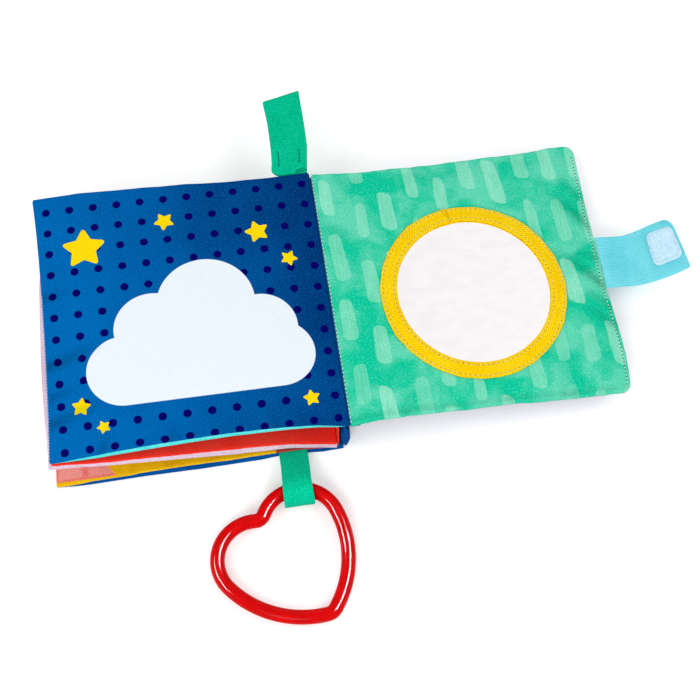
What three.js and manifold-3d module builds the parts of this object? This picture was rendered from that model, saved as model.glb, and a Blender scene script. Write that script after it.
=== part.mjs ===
// A soft cloth book lying open at its last spread, with a hanging loop, a closing tab and a heart ring on a strap.
// Millimetres, +Z up, +X towards the back cover, +Y up the page.
// The origin is under the middle of the front cover, which lies flat on the table.
import * as THREE from 'three';
import Module from 'manifold-3d';

// Covers and leaves
const coverWidth = 151;
const coverHeight = 151;
const pageWidth = 151;
const pageHeight = 153;
const lowerPageOverhang = 2.2;
const backCorner = 6;
const pageCorner = 1.5;
const gutterCorner = 1.2;
const sideDraw = 1.4;
const hem = 4;
const coverShoulder = 17;
const pageShoulder = 34;

// Cloth, stitching room and padding
const cloth = 0.6;
const sewnGap = 0.3;
const padGap = 0.25;
const frontCrown = 3;
const backCrownInside = 1.8;
const backCrownOutside = 2.6;
const topLeafCrownAbove = 2.2;
const topLeafCrownBelow = 1.2;
const middleLeafCrown = 1.6;

// Spine and gutter
const spineHeight = 22.9;
const spineHem = 2.4;
const spineShoulder = 8;
const spineCrown = 1.75;
const gutterGap = 0.4;
const gutterSlack = 2.8;
const stripInset = 2.5;
const backCoverSlope = THREE.MathUtils.degToRad(4.5);
const topLeafTilt = THREE.MathUtils.degToRad(1.5);

// Mirror, under a sewn ring on the back cover's inside
const mirrorFromGutter = 78;
const mirrorBelowMiddle = 6.5;
const ringDiameter = 101;
const ringBand = 9;
const ringCloth = 1;
const filmThickness = 0.4;
const filmLap = 4;

// Closing tab and its two fastener patches
const tabWidth = 30.5;
const tabAboveMiddle = 6;
const tabBaseLength = 8;
const tabStrapLength = 37.5;
const tabThickness = 1.4;
const tabRise = 12;
const tabCorner = 8;
const hookPatchSize = 18;
const hookPatchFromEnd = 1.8;
const loopPatchWidth = 22;
const loopPatchHeight = 20;
const loopPatchFromEdge = 8;
const patchThickness = 0.6;
const patchCorner = 3;

// Webbing loops
const webbing = 1;
const webbingSlit = 0.2;
const loopWidth = 19;
const loopLength = 46;
const loopEye = 1.5;
const loopLift = THREE.MathUtils.degToRad(4);
const strapWidth = 15;
const strapLength = 24.4;
const strapFromSpine = 27.1;
const eyeClearance = 2.0;

// Heart ring
const heartTube = 7.5;
const heartLobe = 20.2;
const heartLobeSpread = 27.8;
const heartSideRadius = 53.8;
const heartTipDepth = 39.4;
const heartTipRadius = 5.2;
const heartNotchRoom = 0.7;
const heartTurn = THREE.MathUtils.degToRad(29.4);
const heartSideStep = 1.4;
const floorGap = 0.2;

// Counts of facets
const outlineSteps = 3;
const ringSegments = 48;
const arcSegments = 8;
const tubeSides = 10;
const tabSteps = 9;

// Places that follow from the sizes
const hemThickness = 2 * cloth + sewnGap;
const spineThickness = hemThickness + 2 * spineCrown;
const coverEdge = coverWidth / 2;
const spineSeam = coverEdge + sewnGap + hemThickness / 2;
const spineInside = spineSeam - spineThickness / 2;
const gutterX = spineSeam + spineThickness / 2;
const spineTop = sewnGap + spineHeight;
const stripThickness = 2 * cloth;
const stripTop = spineTop + sewnGap + stripThickness;
const topLeafUnderside = stripTop + sewnGap;
const topLeafSeam = topLeafUnderside + hemThickness / 2;
const hingeZ = topLeafUnderside + hemThickness + gutterSlack;
const topLeafRight = gutterX - gutterGap;
const stripInside = spineInside - sewnGap - stripThickness;
const middleLeafRight = stripInside - sewnGap;
const topLeafRun = pageWidth * Math.cos(topLeafTilt);
const topLeafLift = pageWidth * Math.sin(topLeafTilt);
const middleLeafLeft = topLeafRight - topLeafRun - lowerPageOverhang;
const crownLap = 0.4 * (frontCrown + middleLeafCrown);
const middleLeafLow = hemThickness + hemThickness / 2 + sewnGap + crownLap;
const middleLeafHigh = topLeafUnderside + topLeafLift - sewnGap - hemThickness / 2;
const middleLeafRun = middleLeafRight - middleLeafLeft;
const middleLeafTilt = Math.atan2(middleLeafHigh - middleLeafLow, middleLeafRun);
const middleLeafWidth = Math.hypot(middleLeafHigh - middleLeafLow, middleLeafRun);
const tabBaseStart = gutterGap + coverWidth - sideDraw + 2 * sewnGap;
const loopX = topLeafRight - gutterGap - loopWidth / 2;
const loopHalf = webbing + webbingSlit;
const strapX = coverEdge - strapFromSpine;
const strapEye = heartTube / 2 + eyeClearance;
const strapBaseZ = floorGap + loopHalf;
const strapEyeZ = floorGap + webbing + strapEye;
const strapLift = Math.asin((strapEyeZ - strapBaseZ) / strapLength);
const heartHalfSpread = heartLobeSpread / 2;
const heartDrop = (strapWidth / 2 + heartSideStep) ** 2 / (4 * heartLobe);

const wasm = await Module();
wasm.setup();

const fabric = (color, roughness = 0.9) => new THREE.MeshStandardMaterial({ color, roughness, metalness: 0 });
const materials = {
  coverBlue: fabric(0x0a4f9c),
  pageBlue: fabric(0x0a5ea8),
  salmon: fabric(0xe88a80),
  lavender: fabric(0xd9c3dc),
  red: fabric(0xf24432),
  turquoise: fabric(0x55dcd6),
  green: fabric(0x1ec79a),
  ringYellow: fabric(0xfccf10),
  tabBlue: fabric(0x78d9e6),
  hookWhite: fabric(0xcfe9f8, 0.7),
  webbingGreen: fabric(0x06bd90),
  batting: fabric(0xf4f4f0, 1),
  mirror: new THREE.MeshStandardMaterial({ color: 0xe8ecee, roughness: 0.05, metalness: 1 }),
  heartRed: new THREE.MeshStandardMaterial({ color: 0xd80a0c, roughness: 0.2, metalness: 0 }),
};

// A body that turns is a group with its origin on its hinge, hung from the body that carries it.
function addBody(parent, x, y, z) {
  const body = new THREE.Group();
  body.userData.hinge = new THREE.Vector3(x, y, z);
  body.position.copy(body.userData.hinge).sub(parent.userData.hinge);
  parent.add(body);
  return body;
}

// A seat is a place on a body, given in the frame of the whole book at rest.
function addSeat(body, x, y, z) {
  const seat = new THREE.Group();
  seat.position.set(x, y, z).sub(body.userData.hinge);
  body.add(seat);
  return seat;
}

function addPart(seat, name, geometry, material) {
  const mesh = new THREE.Mesh(geometry, material);
  mesh.name = name;
  seat.add(mesh);
  return mesh;
}

function closedGeometry(points, triangles) {
  const geometry = new THREE.BufferGeometry();
  geometry.setAttribute('position', new THREE.Float32BufferAttribute(points.flat(), 3));
  geometry.setIndex(triangles.flat());
  return geometry;
}

function toSolid(geometry) {
  const vertProperties = new Float32Array(geometry.getAttribute('position').array);
  const triVerts = new Uint32Array(geometry.getIndex().array);
  return new wasm.Manifold(new wasm.Mesh({ numProp: 3, vertProperties, triVerts }));
}

function fromSolid(solid) {
  const { vertProperties, triVerts } = solid.getMesh();
  const geometry = new THREE.BufferGeometry();
  geometry.setAttribute('position', new THREE.BufferAttribute(new Float32Array(vertProperties), 3));
  geometry.setIndex(new THREE.BufferAttribute(new Uint32Array(triVerts), 1));
  return geometry;
}

// The sewn outline of a panel, counter-clockwise: square at its gutter end, rounded at its fore end,
// with its sides drawn in between the corners.
function panelOutline(width, height, foreRadius, gutterRadius, foreSign) {
  const x = width / 2;
  const y = height / 2;
  const rightRadius = foreSign > 0 ? foreRadius : gutterRadius;
  const leftRadius = foreSign > 0 ? gutterRadius : foreRadius;
  const shape = new THREE.Shape();
  shape.moveTo(-x + leftRadius, -y);
  shape.quadraticCurveTo(0, -y + 2 * sideDraw, x - rightRadius, -y);
  shape.quadraticCurveTo(x, -y, x, -y + rightRadius);
  shape.quadraticCurveTo(x - 2 * sideDraw * (foreSign > 0), 0, x, y - rightRadius);
  shape.quadraticCurveTo(x, y, x - rightRadius, y);
  shape.quadraticCurveTo(0, y - 2 * sideDraw, -x + leftRadius, y);
  shape.quadraticCurveTo(-x, y, -x, y - leftRadius);
  shape.quadraticCurveTo(-x + 2 * sideDraw * (foreSign < 0), 0, -x, -y + leftRadius);
  shape.quadraticCurveTo(-x, -y, -x + leftRadius, -y);
  return shape.getPoints(outlineSteps).slice(0, -1);
}

// A thin or thick closed body over rings of one outline, each ring with its own top and bottom height.
function stackedRings(outline, width, height, insets, tops, bottoms) {
  const count = outline.length;
  const points = [];
  const triangles = [];
  const side = insets.length * count + 1;
  for (const heights of [tops, bottoms]) {
    insets.forEach((inset, ring) => {
      const scaleX = 1 - (2 * inset) / width;
      const scaleY = 1 - (2 * inset) / height;
      outline.forEach((p) => points.push([p.x * scaleX, p.y * scaleY, heights[ring]]));
    });
    points.push([0, 0, heights[insets.length - 1]]);
  }
  for (let i = 0; i < count; i += 1) {
    const j = (i + 1) % count;
    for (let ring = 0; ring + 1 < insets.length; ring += 1) {
      const a = ring * count;
      const b = a + count;
      triangles.push([a + i, a + j, b + j], [a + i, b + j, b + i]);
      triangles.push([side + a + j, side + a + i, side + b + j], [side + b + j, side + a + i, side + b + i]);
    }
    const last = (insets.length - 1) * count;
    triangles.push([last + i, last + j, side - 1]);
    triangles.push([side + last + j, side + last + i, 2 * side - 1]);
    triangles.push([side + i, side + j, j], [side + i, j, i]);
  }
  return closedGeometry(points, triangles);
}

// A padded panel about its seam plane: two cloths sewn round a flat hem, crowned over a pad.
function paddedPanel({ width, height, foreRadius, foreSign, panelHem, shoulder, crownAbove, crownBelow }) {
  const outline = panelOutline(width, height, foreRadius, gutterCorner, foreSign);
  const slope = (panelHem + shoulder) / 2;
  const insets = [0, panelHem, slope, shoulder];
  const shares = [0, 0, 0.75, 1];
  const inside = sewnGap / 2;
  const clothOver = (crown, sign) => {
    const near = shares.map((share) => sign * (inside + crown * share));
    const far = near.map((z) => z + sign * cloth);
    const [tops, bottoms] = sign > 0 ? [far, near] : [near, far];
    return stackedRings(outline, width, height, insets, tops, bottoms);
  };
  const padInsets = [(panelHem + slope) / 2, slope, shoulder];
  const padShares = [shares[2] / 2, shares[2], shares[3]];
  const padTops = padShares.map((share) => inside + crownAbove * share - padGap);
  const padBottoms = padShares.map((share) => -inside - crownBelow * share + padGap);
  return {
    above: clothOver(crownAbove, 1),
    below: clothOver(crownBelow, -1),
    pad: stackedRings(outline, width, height, padInsets, padTops, padBottoms),
  };
}

// A flat strip that follows a curve in XZ; each station gives its place, its normal and its edges in Y.
function bentStrip(stations, thickness) {
  const points = [];
  const triangles = [];
  stations.forEach(({ x, z, normalX, normalZ, low, high }) => {
    const dx = (normalX * thickness) / 2;
    const dz = (normalZ * thickness) / 2;
    points.push([x + dx, low, z + dz], [x + dx, high, z + dz], [x - dx, high, z - dz], [x - dx, low, z - dz]);
  });
  const quad = (a, b, c, d) => triangles.push([a, b, c], [a, c, d]);
  for (let s = 0; s + 1 < stations.length; s += 1) {
    for (let k = 0; k < 4; k += 1) {
      const next = (k + 1) % 4;
      quad(4 * s + k, 4 * s + 4 + k, 4 * s + 4 + next, 4 * s + next);
    }
  }
  const end = 4 * (stations.length - 1);
  quad(0, 1, 2, 3);
  quad(end, end + 3, end + 2, end + 1);
  return closedGeometry(points, triangles);
}

// How far a rounded corner of the given radius cuts in at a distance from the end.
function cornerCut(distance, radius) {
  const reach = Math.max(radius - distance, 0);
  return radius - Math.sqrt(radius * radius - reach * reach);
}

// Folded webbing seen from its edge: two layers from the seam, opening round an eye at the fold.
function foldedWebbing(length, eye, width) {
  const spread = Math.PI / 6;
  const top = Math.PI / 2 + spread;
  const half = webbing + webbingSlit;
  const outer = eye + webbing;
  const fork = (radius, level) =>
    length - radius * Math.sin(spread) - (radius * Math.cos(spread) - level) / Math.tan(spread);
  const shape = new THREE.Shape();
  shape.moveTo(0, half);
  shape.lineTo(fork(outer, half), half);
  shape.absarc(length, 0, outer, top, -top, true);
  shape.lineTo(fork(outer, half), -half);
  shape.lineTo(0, -half);
  shape.lineTo(0, -webbingSlit);
  shape.lineTo(fork(eye, webbingSlit), -webbingSlit);
  shape.absarc(length, 0, eye, -top, top, false);
  shape.lineTo(fork(eye, webbingSlit), webbingSlit);
  shape.lineTo(0, webbingSlit);
  const geometry = new THREE.ExtrudeGeometry(shape, {
    depth: width,
    bevelEnabled: false,
    curveSegments: arcSegments,
  });
  return geometry.translate(0, 0, -width / 2);
}

// Turns a seat so that its X runs out from the sewn edge (sign along Y), lifted by an angle, with Y upwards.
function faceAlongY(seat, sign, lift) {
  const along = new THREE.Vector3(0, sign * Math.cos(lift), Math.sin(lift));
  const up = new THREE.Vector3(0, -sign * Math.sin(lift), Math.cos(lift));
  const across = new THREE.Vector3().crossVectors(along, up);
  seat.quaternion.setFromRotationMatrix(new THREE.Matrix4().makeBasis(along, up, across));
}

// The heart's centreline: two lobes, two bowed sides, a rounded tip and a rounded notch, all of them arcs.
function heartCentreline() {
  const arc = (x, y, radius, from, to, steps) =>
    Array.from({ length: steps }, (_, i) => {
      const angle = from + ((to - from) * i) / steps;
      return new THREE.Vector2(x + radius * Math.cos(angle), y + radius * Math.sin(angle));
    });
  const bow = heartSideRadius - heartLobe;
  const apart = Math.hypot(heartHalfSpread, heartTipDepth);
  const share = (apart ** 2 + bow ** 2 - (heartSideRadius - heartTipRadius) ** 2) / (2 * apart * bow);
  const sideStart = Math.atan2(heartTipDepth, heartHalfSpread) - Math.acos(share);
  const sideX = heartHalfSpread - bow * Math.cos(sideStart);
  const sideY = -bow * Math.sin(sideStart);
  const sideEnd = Math.atan2(-heartTipDepth - sideY, -sideX);
  const notchRadius = heartTube / 2 + heartNotchRoom;
  const notchY = Math.sqrt((heartLobe + notchRadius) ** 2 - heartHalfSpread ** 2);
  const notchEnd = Math.atan2(notchY, -heartHalfSpread);
  const mirrored = (angle) => -Math.PI - angle;
  return [
    ...arc(heartHalfSpread, 0, heartLobe, notchEnd, sideStart, 2 * arcSegments),
    ...arc(sideX, sideY, heartSideRadius, sideStart, sideEnd, arcSegments / 2),
    ...arc(0, -heartTipDepth, heartTipRadius, sideEnd, mirrored(sideEnd), arcSegments),
    ...arc(-sideX, sideY, heartSideRadius, mirrored(sideEnd), mirrored(sideStart), arcSegments / 2),
    ...arc(-heartHalfSpread, 0, heartLobe, mirrored(sideStart), mirrored(notchEnd), 2 * arcSegments),
    ...arc(0, notchY, notchRadius, -notchEnd, notchEnd - Math.PI, arcSegments / 2),
  ];
}

// A round tube along a closed flat centreline.
function closedTube(centreline, radius) {
  const count = centreline.length;
  const points = [];
  const triangles = [];
  centreline.forEach((point, i) => {
    const before = centreline[(i + count - 1) % count];
    const after = centreline[(i + 1) % count];
    const outward = new THREE.Vector2(before.y - after.y, after.x - before.x).normalize();
    for (let k = 0; k < tubeSides; k += 1) {
      const angle = (2 * Math.PI * k) / tubeSides;
      const reach = radius * Math.cos(angle);
      points.push([point.x + outward.x * reach, point.y + outward.y * reach, radius * Math.sin(angle)]);
    }
    for (let k = 0; k < tubeSides; k += 1) {
      const a = i * tubeSides + k;
      const b = i * tubeSides + ((k + 1) % tubeSides);
      const next = ((i + 1) % count) * tubeSides;
      const c = next + ((k + 1) % tubeSides);
      triangles.push([a, b, c], [a, c, next + k]);
    }
  });
  return closedGeometry(points, triangles);
}

// Adds the two cloths and the pad of a panel at one seat.
function addPanel(seat, panel, names, colours) {
  addPart(seat, names.above, panel.above, colours.above);
  addPart(seat, names.below, panel.below, colours.below);
  addPart(seat, names.pad, panel.pad, materials.batting);
}

function addFrontCover(book) {
  const panel = paddedPanel({
    width: coverWidth,
    height: coverHeight,
    foreRadius: pageCorner,
    foreSign: -1,
    panelHem: hem,
    shoulder: pageShoulder,
    crownAbove: frontCrown,
    crownBelow: 0,
  });
  const seamZ = hemThickness / 2;
  const patchX = -coverEdge + loopPatchFromEdge + loopPatchWidth / 2;
  const window = new THREE.BoxGeometry(loopPatchWidth + 2 * sewnGap, loopPatchHeight + 2 * sewnGap, 4 * cloth);
  window.translate(patchX, tabAboveMiddle, -seamZ);
  panel.below = fromSolid(toSolid(panel.below).subtract(toSolid(mergedBox(window))));
  addPanel(addSeat(book, 0, 0, seamZ), panel, {
    above: 'front_cover_inner_cloth',
    below: 'front_cover_outer_cloth',
    pad: 'front_cover_pad',
  }, { above: materials.salmon, below: materials.coverBlue });
  const patch = roundedPatch(loopPatchWidth, loopPatchHeight, cloth);
  addPart(addSeat(book, patchX, tabAboveMiddle, 0), 'fastener_loop_patch', patch, materials.hookWhite);
}

// A box with one vertex at each corner.
function mergedBox(box) {
  box.computeBoundingBox();
  const { min, max } = box.boundingBox;
  const shape = new THREE.Vector3().subVectors(max, min);
  const points = [];
  for (const z of [0, 1]) {
    for (const [x, y] of [[0, 0], [1, 0], [1, 1], [0, 1]]) {
      points.push([min.x + x * shape.x, min.y + y * shape.y, min.z + z * shape.z]);
    }
  }
  const triangles = [[0, 2, 1], [0, 3, 2], [4, 5, 6], [4, 6, 7]];
  for (let k = 0; k < 4; k += 1) {
    const next = (k + 1) % 4;
    triangles.push([k, next, next + 4], [k, next + 4, k + 4]);
  }
  return closedGeometry(points, triangles);
}

// A flat patch with rounded corners, standing on z = 0.
function roundedPatch(width, height, thickness) {
  const x = width / 2;
  const y = height / 2;
  const quarter = Math.PI / 2;
  const shape = new THREE.Shape();
  shape.absarc(x - patchCorner, y - patchCorner, patchCorner, 0, quarter);
  shape.absarc(-x + patchCorner, y - patchCorner, patchCorner, quarter, 2 * quarter);
  shape.absarc(-x + patchCorner, -y + patchCorner, patchCorner, 2 * quarter, 3 * quarter);
  shape.absarc(x - patchCorner, -y + patchCorner, patchCorner, 3 * quarter, 4 * quarter);
  return new THREE.ExtrudeGeometry(shape, { depth: thickness, bevelEnabled: false, curveSegments: 3 });
}

// The spine strip stands on its lower edge, crowned to both sides, its cloths facing in and out.
// A doubled band along its upper hem carries the back cover.
function addSpine(book) {
  const panel = paddedPanel({
    width: spineHeight,
    height: coverHeight,
    foreRadius: gutterCorner,
    foreSign: 1,
    panelHem: spineHem,
    shoulder: spineShoulder,
    crownAbove: spineCrown,
    crownBelow: spineCrown,
  });
  const seat = addSeat(book, spineSeam, 0, sewnGap + spineHeight / 2);
  seat.rotation.y = -Math.PI / 2;
  addPanel(seat, panel, {
    above: 'spine_inner_cloth',
    below: 'spine_outer_cloth',
    pad: 'spine_pad',
  }, { above: materials.coverBlue, below: materials.coverBlue });
  const foot = spineTop - spineHem + sewnGap;
  const bandHeight = stripTop - foot;
  const band = new THREE.BoxGeometry(stripThickness, coverHeight - 2 * stripInset, bandHeight);
  const bandX = spineSeam + hemThickness / 2 + sewnGap + stripThickness / 2;
  addPart(addSeat(book, bandX, 0, foot + bandHeight / 2), 'spine_hinge_band', band, materials.coverBlue);
}

// The middle leaf hangs from the gutter by a doubled strip that runs down inside the spine.
function addMiddleLeaf(book) {
  const leaf = addBody(book, gutterX, 0, hingeZ);
  const stripLength = pageHeight - 2 * stripInset;
  const low = middleLeafLow - hemThickness / 2;
  const high = stripTop;
  const right = spineSeam + hemThickness / 2;
  const profile = new THREE.Shape();
  profile.moveTo(stripInside, low);
  profile.lineTo(stripInside + stripThickness, low);
  profile.lineTo(stripInside + stripThickness, high - stripThickness);
  profile.lineTo(right, high - stripThickness);
  profile.lineTo(right, high);
  profile.lineTo(stripInside, high);
  const strip = new THREE.ExtrudeGeometry(profile, { depth: stripLength, bevelEnabled: false });
  strip.rotateX(Math.PI / 2);
  addPart(addSeat(leaf, 0, stripLength / 2, 0), 'middle_leaf_gutter_strip', strip, materials.red);
  const panel = paddedPanel({
    width: middleLeafWidth,
    height: pageHeight,
    foreRadius: pageCorner,
    foreSign: -1,
    panelHem: hem,
    shoulder: pageShoulder,
    crownAbove: middleLeafCrown,
    crownBelow: middleLeafCrown,
  });
  const middle = (middleLeafLeft + middleLeafRight) / 2;
  const seat = addSeat(leaf, middle, 0, (middleLeafLow + middleLeafHigh) / 2);
  seat.rotation.y = middleLeafTilt;
  addPanel(seat, panel, {
    above: 'middle_leaf_upper_cloth',
    below: 'middle_leaf_lower_cloth',
    pad: 'middle_leaf_pad',
  }, { above: materials.red, below: materials.lavender });
  return leaf;
}

function addTopLeaf(middleLeaf) {
  const leaf = addBody(middleLeaf, gutterX, 0, hingeZ);
  const panel = paddedPanel({
    width: pageWidth,
    height: pageHeight,
    foreRadius: pageCorner,
    foreSign: -1,
    panelHem: hem,
    shoulder: pageShoulder,
    crownAbove: topLeafCrownAbove,
    crownBelow: topLeafCrownBelow,
  });
  const seat = addSeat(leaf, topLeafRight - topLeafRun / 2, 0, topLeafSeam + topLeafLift / 2);
  seat.rotation.y = topLeafTilt;
  addPanel(seat, panel, {
    above: 'top_leaf_upper_cloth',
    below: 'top_leaf_lower_cloth',
    pad: 'top_leaf_pad',
  }, { above: materials.pageBlue, below: materials.turquoise });
  return leaf;
}

function addHangingLoop(topLeaf) {
  const edge = pageHeight / 2;
  const loop = addBody(topLeaf, loopX, edge + gutterGap / 2, topLeafSeam + loopHalf);
  const seat = addSeat(loop, loopX, edge + gutterGap, topLeafSeam);
  faceAlongY(seat, 1, loopLift);
  addPart(seat, 'hanging_loop', foldedWebbing(loopLength, loopEye, loopWidth), materials.webbingGreen);
}

// The back cover slopes down from the gutter; its own frame has X from the gutter and Z off its inside.
function addBackCover(book) {
  const cover = addBody(book, gutterX, 0, hingeZ);
  const frame = addSeat(cover, gutterX, 0, hingeZ);
  frame.rotation.y = backCoverSlope;
  const seamZ = -gutterSlack - hemThickness / 2;
  const panel = paddedPanel({
    width: coverWidth,
    height: coverHeight,
    foreRadius: backCorner,
    foreSign: 1,
    panelHem: hem,
    shoulder: coverShoulder,
    crownAbove: backCrownInside,
    crownBelow: backCrownOutside,
  });
  const seat = new THREE.Group();
  seat.position.set(gutterGap + coverWidth / 2, 0, seamZ);
  frame.add(seat);
  addPanel(seat, panel, {
    above: 'back_cover_inner_cloth',
    below: 'back_cover_outer_cloth',
    pad: 'back_cover_pad',
  }, { above: materials.green, below: materials.coverBlue });
  addMirror(frame, seamZ + hemThickness / 2 + backCrownInside + sewnGap);
  addTab(cover, frame, seamZ);
}

// The mirror film lies on the green cloth, and the sewn ring steps up over its edge.
function addMirror(frame, floor) {
  const outer = ringDiameter / 2;
  const inner = outer - ringBand;
  const filmRadius = inner + filmLap;
  const step = floor + filmThickness + sewnGap;
  const film = new THREE.CylinderGeometry(filmRadius, filmRadius, filmThickness, ringSegments);
  film.rotateX(Math.PI / 2);
  const place = (mesh, z) => mesh.position.set(gutterGap + mirrorFromGutter, -mirrorBelowMiddle, z);
  place(addPart(frame, 'mirror_film', film, materials.mirror), floor + filmThickness / 2);
  const stepRadius = filmRadius + sewnGap;
  const profile = [
    new THREE.Vector2(inner, step),
    new THREE.Vector2(stepRadius, step),
    new THREE.Vector2(stepRadius, floor),
    new THREE.Vector2(outer, floor),
    new THREE.Vector2(outer, floor + ringCloth),
    new THREE.Vector2(stepRadius + ringCloth, step + ringCloth),
    new THREE.Vector2(inner, step + ringCloth),
    new THREE.Vector2(inner, step),
  ];
  const ring = new THREE.LatheGeometry(profile, ringSegments);
  ring.rotateX(Math.PI / 2);
  place(addPart(frame, 'mirror_ring', ring, materials.ringYellow), 0);
}

// The tab leaves the fore edge flat and lifts in an S towards its end.
function tabStations(from, to, steps, offset, edges) {
  const start = tabBaseStart + tabBaseLength;
  const share = (x) => THREE.MathUtils.clamp((x - start) / tabStrapLength, 0, 1);
  return Array.from({ length: steps + 1 }, (_, i) => {
    const along = Math.sin((Math.PI / 2) * (i / steps));
    const x = from + (to - from) * along;
    const s = share(x);
    const z = tabRise * s * s * (3 - 2 * s);
    const grade = (tabRise * 6 * s * (1 - s)) / tabStrapLength;
    const length = Math.hypot(1, grade);
    const normalX = -grade / length;
    const normalZ = 1 / length;
    const [low, high] = edges(x);
    return { x: x + normalX * offset, z: z + normalZ * offset, normalX, normalZ, low, high };
  });
}

function addTab(cover, frame, seamZ) {
  const strapStart = tabBaseStart + tabBaseLength;
  const strapEnd = strapStart + tabStrapLength;
  const half = tabWidth / 2;
  const place = (seat) => seat.position.set(0, tabAboveMiddle, seamZ);
  const fullWidth = () => [-half, half];
  const strapEdges = (x) => [-half, half - cornerCut(strapEnd - x, tabCorner)];
  const baseSeat = new THREE.Group();
  frame.add(baseSeat);
  place(baseSeat);
  const base = bentStrip(tabStations(tabBaseStart, strapStart - sewnGap, 1, 0, fullWidth), tabThickness);
  addPart(baseSeat, 'closure_tab_base', base, materials.tabBlue);

  const fold = new THREE.Vector3(strapStart - sewnGap / 2, tabAboveMiddle, seamZ + tabThickness / 2);
  fold.applyAxisAngle(new THREE.Vector3(0, 1, 0), backCoverSlope);
  const tab = addBody(cover, gutterX + fold.x, fold.y, hingeZ + fold.z);
  const tabFrame = addSeat(tab, gutterX, 0, hingeZ);
  tabFrame.rotation.y = backCoverSlope;
  const strapSeat = new THREE.Group();
  tabFrame.add(strapSeat);
  place(strapSeat);
  const strap = bentStrip(tabStations(strapStart, strapEnd, tabSteps, 0, strapEdges), tabThickness);
  addPart(strapSeat, 'closure_tab_strap', strap, materials.tabBlue);

  const patchEnd = strapEnd - hookPatchFromEnd;
  const patchStart = patchEnd - hookPatchSize;
  const patchHalf = hookPatchSize / 2;
  const patchEdges = (x) => {
    const cut = Math.max(cornerCut(x - patchStart, patchCorner), cornerCut(patchEnd - x, patchCorner));
    return [-patchHalf + cut, patchHalf - cut];
  };
  const lift = tabThickness / 2 + sewnGap + patchThickness / 2;
  const patch = bentStrip(tabStations(patchStart, patchEnd, tabSteps, lift, patchEdges), patchThickness);
  addPart(strapSeat, 'fastener_hook_patch', patch, materials.hookWhite);
}

// The strap is sewn into the front cover's lower edge, and the heart ring runs through its eye.
function addRingStrap(book) {
  const edge = -coverHeight / 2;
  const strap = addBody(book, strapX, edge, strapBaseZ + loopHalf);
  const seat = addSeat(strap, strapX, edge, strapBaseZ);
  faceAlongY(seat, -1, strapLift);
  addPart(seat, 'ring_strap', foldedWebbing(strapLength, strapEye, strapWidth), materials.webbingGreen);

  const eyeY = edge - strapLength * Math.cos(strapLift);
  const heart = addBody(strap, strapX, eyeY, strapEyeZ);
  const lobeX = heartHalfSpread * Math.cos(heartTurn);
  const lobeY = heartHalfSpread * Math.sin(heartTurn);
  const reach = heartTipDepth * Math.cos(heartTurn) + heartTipRadius + lobeY + heartLobe - heartDrop;
  const heartSeat = addSeat(heart, strapX, eyeY, strapEyeZ);
  heartSeat.rotation.x = Math.asin((strapEyeZ - heartTube / 2 - floorGap) / reach);
  const ring = addPart(heartSeat, 'heart_ring', closedTube(heartCentreline(), heartTube / 2), materials.heartRed);
  ring.rotation.z = heartTurn;
  ring.position.set(-lobeX - heartSideStep, -lobeY - heartLobe + heartDrop, 0);
}

const book = new THREE.Group();
book.userData.hinge = new THREE.Vector3();
addFrontCover(book);
addSpine(book);
const middleLeaf = addMiddleLeaf(book);
const topLeaf = addTopLeaf(middleLeaf);
addHangingLoop(topLeaf);
addBackCover(book);
addRingStrap(book);

export default book;
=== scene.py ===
"""Looks of the padded cloth book: its panels, webbing, tab, mirror ring and heart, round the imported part."""
import math

import bpy
import numpy as np
from mathutils import Matrix, Vector
from mathutils.bvhtree import BVHTree


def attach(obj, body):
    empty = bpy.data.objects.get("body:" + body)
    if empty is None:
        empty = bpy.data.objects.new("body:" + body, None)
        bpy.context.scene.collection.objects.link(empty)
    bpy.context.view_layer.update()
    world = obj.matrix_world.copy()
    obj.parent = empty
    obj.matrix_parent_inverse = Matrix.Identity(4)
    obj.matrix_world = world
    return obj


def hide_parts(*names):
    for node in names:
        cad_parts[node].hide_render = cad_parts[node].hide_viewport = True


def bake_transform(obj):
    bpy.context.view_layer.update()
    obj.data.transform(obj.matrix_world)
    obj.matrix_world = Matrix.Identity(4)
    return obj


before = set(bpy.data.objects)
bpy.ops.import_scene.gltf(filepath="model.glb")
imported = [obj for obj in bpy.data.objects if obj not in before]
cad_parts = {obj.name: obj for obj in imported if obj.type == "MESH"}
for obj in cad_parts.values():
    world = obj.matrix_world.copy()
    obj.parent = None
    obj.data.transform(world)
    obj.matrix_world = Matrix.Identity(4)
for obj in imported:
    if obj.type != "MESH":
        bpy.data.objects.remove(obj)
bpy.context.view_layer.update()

MM = 0.001
UV_UNIT = 100.0  # millimetres of cloth per unit of a piece's UV map

# Sizes shared with the CAD source, in millimetres and degrees.
COVER = (151.0, 151.0)
PAGE = (151.0, 153.0)
MIDDLE_WIDTH = 148.62
SPINE_HEIGHT = 22.9
HEM_HALF = 0.75
DRAW = 1.4
GUTTER_X = 79.05
HINGE_Z = 29.3
COVER_SEAM_W = -3.55
RING_OUTER = 50.5
RING_INNER = 41.5
TAB_START = 150.45
TAB_FOLD = 158.45
TAB_RUN = 37.5
TAB_RISE = 12.0
TAB_Y = (-9.25, 21.25)
HEART_TUBE = 3.75


class Place:
    """A frame in millimetres: u along a piece, v along the second axis, w off its face."""

    def __init__(self, origin, u, v, w):
        self.origin = np.array(origin, float)
        self.axes = np.array([u, v, w], float)
        self.sign = np.sign(np.linalg.det(self.axes))

    def out(self, points):
        return self.origin + np.asarray(points, float) @ self.axes


def leaning(origin, forward, degrees):
    """A place whose u runs along +X or -X and rises by an angle, with v along +Y and w upwards."""
    c, s = math.cos(math.radians(degrees)), math.sin(math.radians(degrees))
    return Place(origin, (forward * c, 0, s), (0, 1, 0), (-forward * s, 0, c))


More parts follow.
